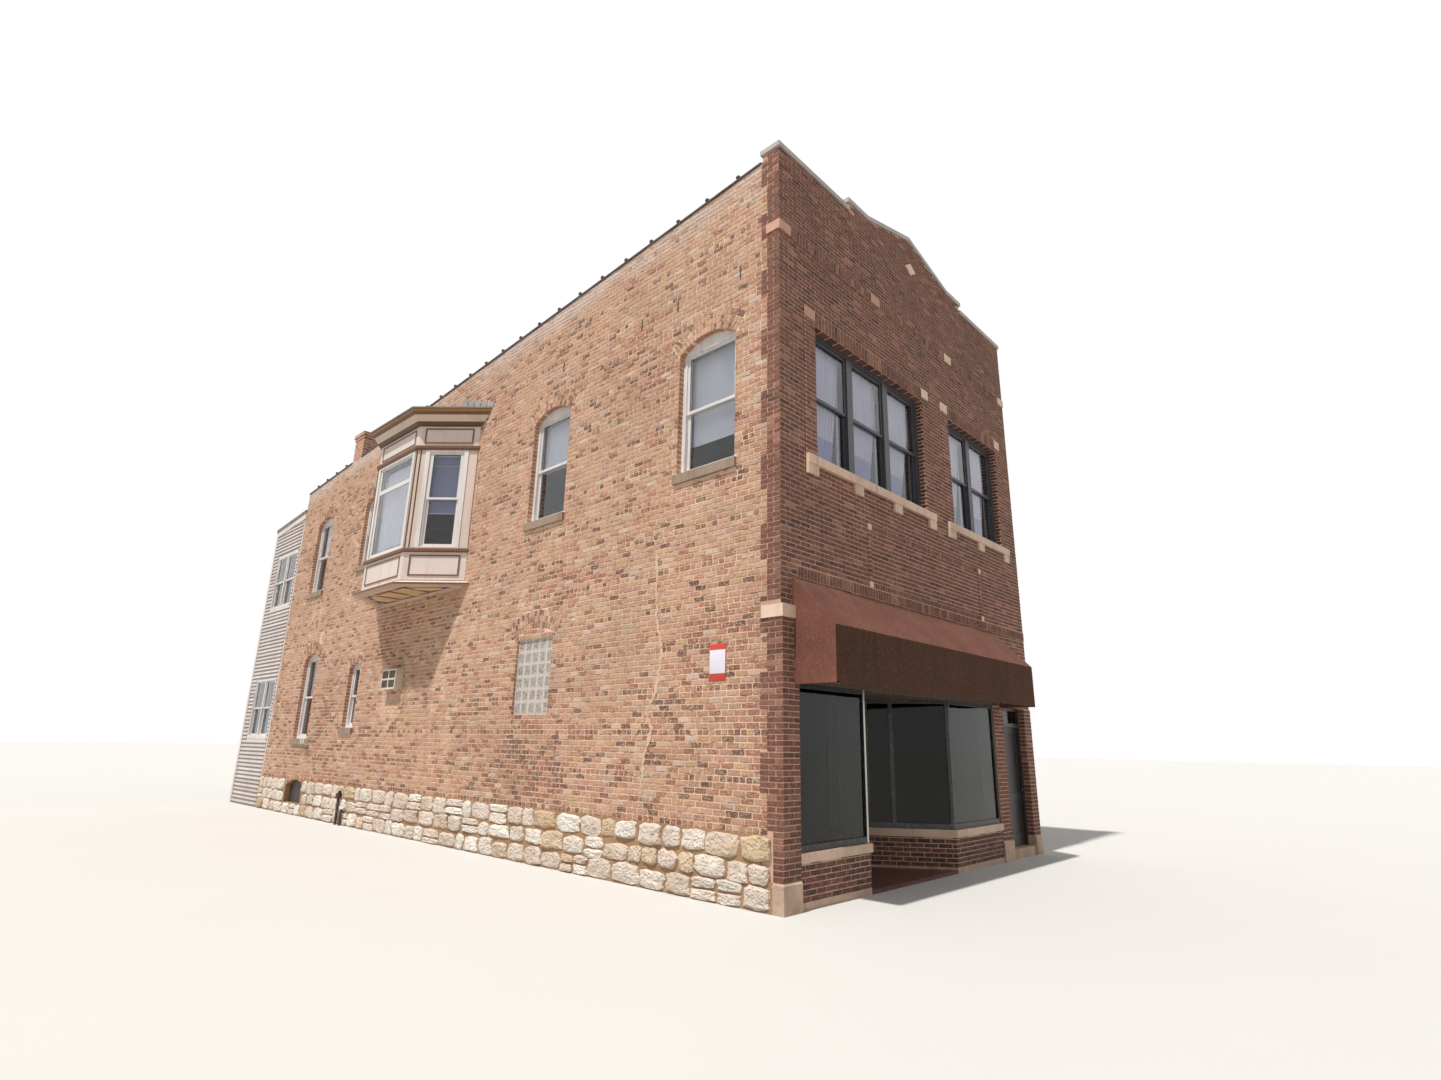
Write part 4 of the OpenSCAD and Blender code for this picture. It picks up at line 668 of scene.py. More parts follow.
class Bricklayer:
    """Gathers the bricks of one finish, each a face with four narrow slanting sides.

    A wall is its start, its direction, its outward direction and how far its face stands out.
    """
    shortest, sunk, chamfer = 0.045, -0.001, 0.0025

    def __init__(self, seed):
        self.points, self.faces, self.tones = [], [], []
        self.chance = random.Random(seed)

    def set_brick(self, wall, corners, tone, proud):
        """Corners are (along, up) pairs, counter-clockwise as seen from outside."""
        start, along, outward, stand = wall
        if along[1] * outward[0] < along[0] * outward[1]:
            corners = corners[::-1]
        first = len(self.points)
        middle = [sum(corner[k] for corner in corners) / 4 for k in (0, 1)]
        for out, pull in ((self.sunk, 0.0), (proud, self.chamfer)):
            for u, z in corners:
                du, dz = middle[0] - u, middle[1] - z
                u += math.copysign(min(pull, abs(du)), du)
                z += math.copysign(min(pull, abs(dz)), dz)
                self.points.append((*beside(start, along, outward, u, stand + out), z))
        self.faces.append(tuple(range(first + 4, first + 8)))
        for i in range(4):
            j = (i + 1) % 4
            self.faces.append((first + i, first + j, first + 4 + j, first + 4 + i))
        self.tones += [tone] * 8

    def course(self, wall, spans, z0, height, joint, length, shift, proud, tone_of, top=None, header=False):
        """One course between the ends of each span; the last bricks are cut to fit."""
        for start, end in spans:
            cuts = [start]
            n = math.ceil((start - shift) / length)
            while shift + n * length < end - self.shortest:
                if shift + n * length > start + self.shortest:
                    cuts.append(shift + n * length)
                n += 1
            cuts.append(end)
            for i in range(len(cuts) - 1):
                wobble = self.chance.uniform(-0.002, 0.002)
                u0 = cuts[i] + (joint / 2 if i else 0) + wobble * (i > 0)
                u1 = cuts[i + 1] - (joint / 2 if i < len(cuts) - 2 else 0)
                if u1 - u0 < 0.02:
                    continue
                low = z0 + joint / 2 + self.chance.uniform(-0.0015, 0.0015)
                ends = [z0 + height - joint / 2] * 2
                if top:
                    ends = [min(ends[0], top(u0)), min(ends[1], top(u1))]
                if min(ends) - low < 0.012:
                    continue
                corners = [(u0, low), (u1, low), (u1, ends[1]), (u0, ends[0])]
                stand = proud * self.chance.uniform(0.75, 1.2)
                self.set_brick(wall, corners, tone_of((u0 + u1) / 2, (low + ends[0]) / 2, header), stand)

    def rings(self, wall, start, width, spring, rise, count, proud, tone_of, joint=0.014, wide=0.076):
        """Rings of brick ends round an arch over an opening."""
        radius, half_angle = arch_shape(width, rise)
        low = spring + rise - radius
        for _ in range(count):
            ends = max(3, round(2 * half_angle * (radius + RING / 2) / wide))
            step = 2 * half_angle / ends
            r0, r1 = radius + joint / 3, radius + RING - joint / 3
            for i in range(ends):
                a0 = -half_angle + i * step + joint / 2 / radius
                a1 = -half_angle + (i + 1) * step - joint / 2 / radius
                at = [(start + width / 2 + r * math.sin(a), low + r * math.cos(a))
                      for r, a in ((r0, a0), (r0, a1), (r1, a1), (r1, a0))]
                self.set_brick(wall, at, tone_of(*at[0], True), proud * self.chance.uniform(0.8, 1.2))
            radius += RING

    def finish(self, name, material, slot):
        joined(name, self.points, self.faces, material, slot, tone=self.tones)


def cut(spans, holes):
    """The spans less the holes, each a low and a high end."""
    for low, high in holes:
        left = []
        for a, b in spans:
            if high <= a or low >= b:
                left.append((a, b))
                continue
            if low - a > 0.03:
                left.append((a, low))
            if b - high > 0.03:
                left.append((high, b))
        spans = left
    return spans


def smooth_noise(x, y, scale, seed):
    """Soft noise between -1 and 1, the same in each run."""
    total = 0.0
    for n in range(4):
        turn = seed * 1.7 + n * 2.3
        total += math.sin((x * math.cos(turn) + y * math.sin(turn)) * scale * (1 + 0.6 * n) + turn * 5)
    return total / 4


# Openings of the side wall: y, width, sill, spring of the arch and rings of brick ends over it
SIDE_WINDOWS = [
    (0.80, 1.15, 5.65, 7.62, 3), (4.76, 1.12, 5.65, 7.62, 3), (12.50, 0.95, 5.97, 7.62, 3),
    (15.60, 1.05, 5.65, 7.62, 3), (12.38, 0.62, 2.06, 3.44, 2), (15.10, 0.93, 1.80, 3.80, 3),
]
# Arches over the glass blocks and the basement window: y, width, spring, rise and rings
LOW_ARCHES = [(4.68, 1.25, 3.56, 0.13, 3), (14.82, 1.11, 0.69, 0.13, 1)]
# Other places that the side wall's brick leaves free: y from and to, z from and to
SIDE_GAPS = [(4.78, 5.83, 2.26, 3.50), (8.02, 11.70, 4.80, 8.42), (10.11, 10.77, 2.86, 3.24),
             (14.92, 15.26, 4.20, 4.48)]
RING = 0.105
ARCH_RISE = 0.17
WALL_LENGTH, FRONT_WIDTH = 17.9, 7.75
# z and y of the crack's bends
CRACK = [(1.15, 2.44), (1.61, 2.41), (2.02, 2.27), (2.25, 2.39), (2.47, 2.23), (3.06, 2.11), (3.56, 2.25),
         (4.52, 2.30)]
BASE_TOP, PIER_TOP, FRONT_TOP = 0.33, 3.36, 10.36


def wall_top(y):
    """Underside of the side wall's coping."""
    return 10.33 - FALL * (y - 0.3) - 0.09


def arch_shape(width, rise):
    """Radius and half angle of an arch."""
    radius = (width * width / 4 + rise * rise) / (2 * rise)
    return radius, math.asin(width / 2 / radius)


def arch_hole(y, width, spring, rise, rings, z):
    """What an arch and its rings take out of a course at height z."""
    radius, half_angle = arch_shape(width, rise)
    up = z - (spring + rise - radius)
    outer = radius + rings * RING
    if z < spring or up >= outer:
        return []
    half = min(up * math.tan(half_angle), math.sqrt(outer * outer - up * up))
    return [(y + width / 2 - half, y + width / 2 + half)]


def tooth(z):
    """How far the front's brick returns on the side wall at height z: it changes every seven courses."""
    short, long, seven_courses = 0.213, 0.32, 0.474
    return short if math.floor((z - BASE_TOP) / seven_courses) % 2 else long


def side_holes(z0, z1):
    """What the openings, the corner and the crack take out of a course of the side wall."""
    middle = (z0 + z1) / 2
    sill_height, sill_end = 0.135, 0.04
    holes = [(-1.0, tooth(middle))]
    for y, width, sill, spring, rings in SIDE_WINDOWS:
        if z1 > sill - sill_height and z0 < sill - 0.02:
            holes.append((y - sill_end, y + width + sill_end))
        if z1 > sill and z0 < spring:
            holes.append((y, y + width))
        holes += arch_hole(y, width, spring, ARCH_RISE * width, rings, z1)
    for y, end, low, high in SIDE_GAPS:
        if z1 > low and z0 < high:
            holes.append((y, end))
    for arch in LOW_ARCHES:
        holes += arch_hole(*arch, middle)
    for (low, a), (high, b) in zip(CRACK, CRACK[1:]):
        if low <= middle < high:
            at = a + (b - a) * (middle - low) / (high - low)
            holes.append((at - 0.012, at + 0.012))
    return holes


def lay_side_wall():
    """The side wall's common brick: stretchers, a course of ends in seven, and rings over the openings."""
    size, paint = bpy.context.scene.shop_bricks, bpy.context.scene.shop_colours
    layer = Bricklayer(3)
    chance = layer.chance
    wall = ((0.0, 0.0), (0.0, 1.0), (-1.0, 0.0), 0.0)

    def tone_of(y, z, header):
        reddish = smooth_noise(y, z, 0.9, 4) + 0.5 * smooth_noise(y, z, 2.7, 9)
        tone = chance.gauss(0.58, 0.15)
        if reddish > 0.30:
            tone -= 0.30 * min(1.0, (reddish - 0.30) * 2)
        near = max(0.0, 1.0 - max(z - 1.2, 0.0) / 2.6) * max(0.35, 1.0 - y / 14)
        dark = (0.38 + 0.42 * near) if header else (0.10 + 0.24 * near)
        tone -= 0.16 * near
        if chance.random() < dark * (0.6 + 0.7 * (smooth_noise(y, z, 1.4, 2) + 0.4)):
            tone = chance.uniform(0.0, 0.26)
        if 10.1 < y < 11.1 and 2.25 < z < 2.75:
            tone = chance.uniform(0.8, 1.0)
        if y < 0.5 and not header:
            tone = max(tone - 0.08, 0.25)
        return held(tone)

    z, n = 0.819, 0
    while z < wall_top(0.3):
        header = n % size.header_every == 0
        length = size.side_length / 2 if header else size.side_length
        spans = cut([(0.0, WALL_LENGTH)], side_holes(z, z + size.side_course))
        shift = (n % 2) * size.side_length / 2 + 0.02 * math.sin(n * 1.3)
        layer.course(wall, spans, z, size.side_course, size.side_joint, length, shift, size.proud, tone_of,
                     wall_top, header)
        z += size.side_course
        n += 1
    for y, width, _, spring, rings in SIDE_WINDOWS:
        layer.rings(wall, y, width, spring, ARCH_RISE * width, rings, size.proud, tone_of)
    block_arch, cellar_arch = LOW_ARCHES
    layer.rings(wall, *block_arch, size.proud, tone_of)
    first, width, _, rise, _ = block_arch
    radius, _ = arch_shape(width, rise)
    crown = 3.68

    def under_arch(y):
        return crown - radius + math.sqrt(radius ** 2 - (y - first - width / 2) ** 2)

    start, end, flat_course = 4.72, 5.89, 0.079
    for k in range(2):
        layer.course(wall, [(start, end)], 3.522 + k * flat_course, flat_course, size.side_joint,
                     size.side_length, start + 0.1 * k, size.proud, tone_of, under_arch)
    layer.rings(wall, *cellar_arch, size.proud, tone_of)
    tones = (paint.common_dark, paint.common_red, paint.common_tan, paint.common_pale)
    finish = brick_finish("common_brick", tones, "6d5442", 0.25, paint.side_mortar, 0.6, 0.75, True)
    layer.finish("side_wall_bricks", finish, "common_brick")
    fill_crack()


def fill_crack():
    """The old crack of the side wall, pointed up with pale mortar that runs over the bricks beside it."""
    chance = random.Random(21)
    points, faces = [], []
    for (low, a), (high, b) in zip(CRACK, CRACK[1:]):
        steps = max(2, round(math.hypot(high - low, b - a) / 0.035))
        for i in range(steps + (high == CRACK[-1][0])):
            share = i / steps
            y, z = a + (b - a) * share, low + (high - low) * share
            left, right = chance.uniform(0.004, 0.046), chance.uniform(0.004, 0.046)
            points += [(-0.0075, y - left, z), (-0.0075, y + right, z)]
            if len(points) > 2:
                n = len(points)
                faces.append((n - 4, n - 2, n - 1, n - 3))
    fill = weathered("crack_mortar", "dab89c", "a07a60", 0.45, 3.0, 0.1, 0.3, 60.0, 0.6, 0.004, rough=0.92)
    joined("crack_pointing", points, faces, fill, "common_brick")


def gable_top(x):
    """Underside of the coping along the front: a level shoulder, a step, and a slope up to the middle."""
    shoulder_end, slope_start, middle = 1.855, 2.44, 3.875
    x = min(x, FRONT_WIDTH - x)
    if x < shoulder_end:
        return 10.37
    return 10.54 + max(x - slope_start, 0.0) / (middle - slope_start) * 0.39


# Left and right sides of the two upper windows of the front
FRONT_WINDOWS = [(0.81, 4.00), (4.98, 7.07)]


def lay_front():
    """Face brick of the front, its raised borders, piers, bulkheads and return on the side wall."""
    size, paint = bpy.context.scene.shop_bricks, bpy.context.scene.shop_colours
    layer = Bricklayer(8)
    chance = layer.chance
    joint, course, length = size.face_joint, size.face_course, size.face_length
    pier, pier_out, corner_depth, cap_low, cap_high = 0.33, 0.025, 0.30, 3.32, 3.52
    border, sill, head = 0.24, 5.68, 7.73
    door_left, door_right, door_top, reveal = 6.45, 7.45, 2.58, 0.12

    def tone_of(u, z, header):
        tone = chance.gauss(0.44, 0.17) + 0.12 * smooth_noise(u, z, 1.1, 7)
        if chance.random() < 0.10:
            tone = chance.uniform(0.05, 0.2)
        if chance.random() < 0.08:
            tone = chance.uniform(0.7, 0.95)
        if z < 0.55:
            tone -= 0.28
        return held(tone)

    def field(wall, start, end, z0, z1, holes_at=None, top=None, offset=0.0):
        n, z = 0, z0
        while z < z1 - 0.02:
            high = min(z + course, z1)
            spans = cut([(start, end)], holes_at(z, high) if holes_at else [])
            shift = offset + (n % 2) * length / 2
            layer.course(wall, spans, z, high - z, joint, length, shift, size.proud * 0.8, tone_of, top)
            z += course
            n += 1

    def upright(wall, start, end, z0, z1, wide=0.0725):
        count = max(1, round((end - start) / wide))
        step = (end - start) / count
        for i in range(count):
            a, b = start + i * step + joint / 2, start + (i + 1) * step - joint / 2
            low, high = z0 + joint / 2, z1 - joint / 2
            layer.set_brick(wall, [(a, low), (b, low), (b, high), (a, high)], tone_of(a, z0, True),
                            size.proud * chance.uniform(0.6, 0.95))

    front, half_raised, raised = (
        ((0.0, 0.0), (1.0, 0.0), (0.0, -1.0), stand) for stand in (0.0, 0.010, 0.020))

    def front_holes(z0, z1):
        holes = [(0.0, pier)] if z1 < 3.54 else []
        if z1 > sill and z0 < head:
            holes += FRONT_WINDOWS
        return holes

    field(front, 0.0, FRONT_WIDTH, 2.72, 10.93, front_holes, gable_top)
    for left, right in FRONT_WINDOWS:
        field(raised, left - border, left, sill, 7.81, offset=left - border)
        field(raised, right, right + border, sill, 7.81, offset=right)
        upright(raised, left, right, head, 7.98, 0.085)
    upright(half_raised, pier, FRONT_WIDTH, 3.91, 4.06)
    for start, end in ((0.25, 2.44), (2.69, 5.05), (5.30, 7.50)):
        upright(half_raised, start, end, 8.95, 9.10)
    for low, high in ((4.06, 4.15), (4.94, 5.03)):
        upright(half_raised, 2.16, 5.83, low, high, 0.0677)
    for x in (2.07, 5.83):
        field(half_raised, x, x + 0.09, 4.15, 4.94, offset=x)

    field(((0.0, -pier_out), *front[1:]), 0.0, pier, BASE_TOP, PIER_TOP)
    for left, right in ((6.05, door_left), (door_right, FRONT_WIDTH)):
        field(((left, 0.0), *front[1:]), 0.0, right - left, BASE_TOP, door_top)
    for jamb in (((door_left, 0.0), (0.0, 1.0), (1.0, 0.0), 0.0),
                 ((door_right, reveal), (0.0, -1.0), (-1.0, 0.0), 0.0)):
        field(jamb, 0.0, reveal, BASE_TOP, door_top)
    bulkheads = [(pier, 0.0), (1.87, 0.0), (2.64, 1.1), (3.56, 1.1), (4.33, 0.0), (6.05, 0.0)]
    for i in (0, 1, 3, 4):
        reach, along = run(bulkheads[i], bulkheads[i + 1])
        field((bulkheads[i], along, (along[1], -along[0]), 0.0), 0.0, reach, 0.08, 0.51)

    # The bricks returned onto the side wall get a paler tone than the same bricks of the front: painted
    # light, as if the sun fell on that side.
    def lit_return_tone(u, z, header):
        return min(tone_of(u, z, header) + 0.12, 1.0)

    side = ((0.0, corner_depth), (0.0, -1.0), (-1.0, 0.0), 0.0)
    n, z = 0, BASE_TOP
    while z < FRONT_TOP:
        ahead = pier_out if z < PIER_TOP else 0.0
        if not cap_low < z < cap_high:
            first = max(corner_depth - tooth(z + course / 2), -0.02) if z > 0.82 else 0.176
            end = corner_depth + ahead
            layer.course(side, [(first, end)], z, course, joint, length, end + (n % 2) * length / 2,
                         size.proud, lit_return_tone, lambda u: FRONT_TOP)
        z += course
        n += 1
    tones = (paint.face_dark, paint.face_red, paint.face_red, paint.face_light)
    finish = brick_finish("face_brick", tones, "2c1f1a", 0.35, paint.face_mortar, 0.2, 0.5)
    layer.finish("front_bricks", finish, "face_brick")


def lay_rubble():
    """Split stones of the side wall's base, in three rough courses."""
    chance = random.Random(12)
    points, faces, tones = [], [], []
    around = 14

    def stone(y0, y1, z0, z1):
        first = len(points)
        tone = held(chance.gauss(0.66, 0.2))
        bulge = [chance.uniform(-0.16, 0.05) for _ in range(around)]
        depth = chance.uniform(0.020, 0.042)
        power = chance.uniform(5.0, 13.0)
        lean_y, lean_z = chance.uniform(-0.4, 0.4), chance.uniform(-0.4, 0.4)
        for shrink, rise in ((1.0, -0.12), (0.95, 0.6), (0.74, 0.95), (0.38, 1.0)):
            for k in range(around):
                angle = 2 * math.pi * k / around + 0.2
                c, s = math.cos(angle), math.sin(angle)
                square = (abs(c) ** power + abs(s) ** power) ** (-1 / power)
                reach = square * (1 + bulge[k]) * shrink
                out = rise * depth * (1 + (lean_y * reach * c + lean_z * reach * s if rise > 0 else 0))
                rough = chance.uniform(-0.008, 0.008) if rise > 0 else 0
                points.append((-0.02 - out - rough, (y0 + y1) / 2 + reach * c * (y1 - y0) / 2,
                               (z0 + z1) / 2 + reach * s * (z1 - z0) / 2))
        points.append((-0.02 - depth - chance.uniform(-0.006, 0.006), (y0 + y1) / 2, (z0 + z1) / 2))
        rim, top = first + 3 * around, first + 4 * around
        for ring in range(first, rim, around):
            for k in range(around):
                a, b = ring + k, ring + (k + 1) % around
                faces.append((a, a + around, b + around, b))
        for k in range(around):
            faces.append((rim + k, top, rim + (k + 1) % around))
        tones.extend([tone] * (around * 4 + 1))

    beds = [0.0, 0.27, 0.53, 0.82]
    cellar_start, cellar_end = 14.75, 16.00
    for level in range(3):
        y = 0.14
        while y < WALL_LENGTH - 0.05:
            wide = chance.uniform(0.26, 0.62)
            end = min(y + wide, WALL_LENGTH)
            if WALL_LENGTH - end < 0.2:
                end = WALL_LENGTH
            low = beds[level] + (chance.uniform(-0.02, 0.03) if level else 0.004)
            high = beds[level + 1] + (chance.uniform(-0.03, 0.02) if level < 2 else -0.006)
            beside_cellar = end > cellar_start and y < cellar_end
            if beside_cellar and level:
                if cellar_start - y > 0.12:
                    stone(y + 0.005, cellar_start, low + 0.003, high - 0.003)
                if end - cellar_end > 0.12:
                    stone(cellar_end, end - 0.005, low + 0.003, high - 0.003)
            else:
                if beside_cellar:
                    high = 0.25
                if chance.random() < 0.22 and high - low > 0.2:
                    split = (low + high) / 2 + chance.uniform(-0.03, 0.03)
                    stone(y + 0.005, end - 0.005, low, split - 0.006)
                    stone(y + 0.005, end - 0.005, split + 0.006, high)
                else:
                    stone(y + 0.005, end - 0.005, low + 0.003, high - 0.003)
            y = end
    paint = bpy.context.scene.shop_colours

    def split_stone(tree):
        return shared(piece_tone, tree, dark="b39b7e", red="d2b894", main=paint.rubble, pale="f0e9de",
                      blotch=0.5, blotch_scale=9.0)[0]

    finish = weathered("rubble_stone", split_stone, "8a6f50", 0.4, 2.6, 0.1, 0.4, 22.0, 0.9, 0.025, rough=0.9)
    joined("foundation_stones", points, faces, finish, "rubble_stone", tone=tones)


# The porch's open sides: start, direction, outward direction, length and gaps for its windows
PORCH_SIDES = [
    ((0.0, WALL_LENGTH), (0.0, 1.0), (-1.0, 0.0), 2.35, [(0.17, 1.87)]),
    ((0.0, 20.25), (1.0, 0.0), (0.0, 1.0), FRONT_WIDTH, [(1.1, 2.8), (4.95, 6.65)]),
    ((FRONT_WIDTH, WALL_LENGTH), (0.0, 1.0), (1.0, 0.0), 2.35, []),
]
PORCH_WINDOWS = [(1.80, 3.46), (5.53, 7.19)]


def hang_siding():
    """Lapped boards on the three open sides of the rear porch."""
    chance = random.Random(5)
    points, faces, tones = [], [], []
    lowest, eaves, reveal, corner_board = 0.02, 8.10, 0.108, 0.10
    for start, along, outward, length, gaps in PORCH_SIDES:
        z = lowest
        while z < eaves:
            high = min(z + reveal, eaves)
            beside_window = any(high > low + 0.01 and z < top - 0.01 for low, top in PORCH_WINDOWS)
            for ends in cut([(corner_board, length - corner_board)], gaps if beside_window else []):
                first = len(points)
                tones += [held(chance.gauss(0.55, 0.16))] * 6
                for u in ends:
                    for up, out in ((z, -0.002), (z, 0.018), (high + 0.004, 0.003)):
                        points.append((*beside(start, along, outward, u, out), up))
                flip = along[0] * outward[1] - along[1] * outward[0] > 0
                for face in ((0, 3, 4, 1), (1, 4, 5, 2), (0, 1, 2), (3, 5, 4)):
                    faces.append(tuple(first + i for i in (face[::-1] if flip else face)))
            z += reveal
    paint = bpy.context.scene.shop_colours

    def lapped_with_painted_shadow(tree):
        board, = shared(piece_tone, tree, dark="c2b5ae", red="cfc3bc", main=paint.siding, pale="e8dfda",
                        blotch=0.1, blotch_scale=3.0)
        # The lowest share of each board is darkened: a painted shadow under the lap of the board above.
        foot = ((site(tree)[2] - lowest) / reveal).by("FRACT") < 0.28
        return mix(foot * 0.85, board, "4c423d")

    finish = weathered("siding_boards", lapped_with_painted_shadow, "6d6056", 0.25, 1.2, 0.35, 0.1, 26.0, 0.1, 0.0015,
                       (0.2, 0.2, 2.5), 0.6)
    joined("porch_siding", points, faces, finish, "siding", tone=tones)


# Pieces shaped with Blender's own tools

def only(thing):
    """Selects one object and makes it active."""
    bpy.ops.object.select_all(action="DESELECT")
    thing.select_set(True)
    bpy.context.view_layer.objects.active = thing


def block(low, high, bevel, segments=2):
    """A box between two building corners with softened edges, its place in its mesh."""
    low, high = Vector(low) + CORNER, Vector(high) + CORNER
    bpy.ops.object.select_all(action="DESELECT")
    bpy.ops.mesh.primitive_cube_add(size=1, location=(low + high) / 2)
    made = bpy.context.object
    made.scale = high - low
    bpy.ops.object.transform_apply(location=True, rotation=True, scale=True)
    bpy.ops.object.mode_set(mode="EDIT")
    bpy.ops.mesh.select_all(action="SELECT")
    bpy.ops.mesh.bevel(offset=bevel, segments=segments, affect="EDGES", clamp_overlap=True)
    bpy.ops.object.mode_set(mode="OBJECT")
    return made


def rod(start, end, radius, sides):
    """A round bar between two building points."""
    a, b = Vector(start) + CORNER, Vector(end) + CORNER
    bpy.ops.object.select_all(action="DESELECT")
    bpy.ops.mesh.primitive_cylinder_add(
        vertices=sides, radius=radius, depth=(b - a).length, location=(a + b) / 2)
    made = bpy.context.object
    made.rotation_mode = "QUATERNION"
    made.rotation_quaternion = (b - a).to_track_quat("Z", "Y")
    bpy.ops.object.transform_apply(location=True, rotation=True, scale=True)
    return made


def put(parts, name, material, smooth=40):
    """Joins the parts of a piece, names it and gives it its finish and its body."""
    only(parts[0])
    for part in parts[1:]:
        part.select_set(True)
    if len(parts) > 1:
        bpy.ops.object.join()
    thing = parts[0]
    only(thing)
    bpy.ops.object.shade_smooth_by_angle(angle=math.radians(smooth))
    thing.name = thing.data.name = name
    thing.data.materials.clear()
    thing.data.materials.append(material)
    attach(thing, "building")
    return thing


def cloth(name, columns, rows, shape, material, thick):
    """A sheet of cloth: shape gives the building point at (across, down), both from 0 to 1."""
    bpy.ops.object.select_all(action="DESELECT")
    bpy.ops.mesh.primitive_grid_add(x_subdivisions=columns, y_subdivisions=rows, size=2, calc_uvs=True)
    made = bpy.context.object
    flat = np.zeros(len(made.data.vertices) * 3)
    made.data.vertices.foreach_get("co", flat)
    placed = []
    for x, y, _ in flat.reshape(-1, 3):
        placed += list(Vector(shape((x + 1) / 2, (1 - y) / 2)) + CORNER)
    made.data.vertices.foreach_set("co", placed)
    made.data.update()
    only(made)
    shell = made.modifiers.new("thickness", "SOLIDIFY")
    shell.thickness = thick
    shell.offset = -1
    bpy.ops.object.modifier_apply(modifier=shell.name)
    return put([made], name, material, 32)


def cloth_finish(name, tint, weave, fade, dirt, sheen=0.0, slope=None, front=None):
    """Woven cloth: threads both ways, faded and stained; given slope and front colours, faces turned forward
    get darker copies of the tint as painted shade.
    """
    material, tree = blank(name)
    # Painted shade: faces half turned to the front take the slope colour, faces looking straight forward the
    # darker front colour.
    if front:
        outward = facing_of(tree)[1]
        tint = mix(outward < -0.9, mix(outward < -0.5, tint, slope), front)
    across, down, _ = axes(place_of(tree, "UV"))
    threads = (across * weave).by("SINE") * (down * weave).by("SINE")
    worn, _ = shared(weathering, tree, colour=tint, dirt=dirt, amount=fade, scale=1.4, streaks=fade,
                     wear=0.15)
    base = mix(spread(threads, -1, 1, 0.0, 0.10), worn, (0.02, 0.015, 0.012))
    return close(material, base, 0.9, threads, 0.0006, **{"Sheen Weight": sheen, "Specular IOR Level": 0.15})


def stretch_awning():
    """The awning's cover: one cloth over the ribs and two ends, welded along the seams."""
    left, right, reach, top, lip, low = 0.235, 6.330, 0.640, 3.900, 3.240, 2.550
    rib_start, rib_gap, rib_spaces = 0.3525, 1.1906, 5
    dip = bpy.context.scene.shop_cloth.awning_sag
    fall, drop = top - lip, lip - low
    slope = math.hypot(reach, fall)
    whole = slope + drop

    def sag_at(x):
        """Share of the dip between two ribs, none outside them."""
        part = (x - rib_start) / rib_gap
        return math.sin(math.pi * (part % 1)) if 0 <= part <= rib_spaces else 0.0

    def cover(across, down):
        x = left + across * (right - left)
        down *= whole
        if abs(down - slope) < 0.02:
            down = slope
        if down <= slope:
            part = down / slope
            sink = dip * sag_at(x) * math.sin(math.pi * part) ** 0.7
            return x, -reach * part + sink * fall / slope, top - fall * part - sink * reach / slope
        part = (down - slope) / drop
        sink = 0.5 * dip * sag_at(x) * math.sin(math.pi * min(part, 1.0))
        return x, -reach + sink, lip - drop * part

    # The slope and front colours are darker copies of the awning's colour: painted shade on the sides that
    # look forward.
    finish = cloth_finish("awning_cloth", bpy.context.scene.shop_colours.awning, 5200.0, 0.35, "2a1d18",
                          slope="784e42", front="553726")
    sheet = cloth("awning_cloth_cover", 96, 28, cover, finish, 0.002)
    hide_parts("awning_cover")
    for name, x, way in (("awning_cloth_left_end", left + 0.002, 1),
                         ("awning_cloth_right_end", right - 0.002, -1)):
        def end(across, down, x=x, way=way):
            forward = across if way > 0 else 1 - across
            y = -reach * (1 - forward) * 0.996
            high = top + fall * (y / reach) - 0.004
            bow = 0.006 * math.sin(math.pi * forward) * math.sin(math.pi * down)
            return x + way * bow, y, high + (low + 0.002 - high) * down
        side = cloth(name, 12, 20, end, finish, 0.002)
    seams = []
    for x in (left + 0.005, right - 0.005):
        bend = (x, -reach + 0.0065, lip - 0.003)
        seams.append(rod((x, -0.004, top - 0.006), bend, 0.006, 8))
        seams.append(rod(bend, (x, -reach + 0.0065, low + 0.004), 0.006, 8))
    seams.append(block((left, -reach, low), (right, -reach + 0.006, low + 0.022), 0.002))
    put(seams, "awning_seams", finish)


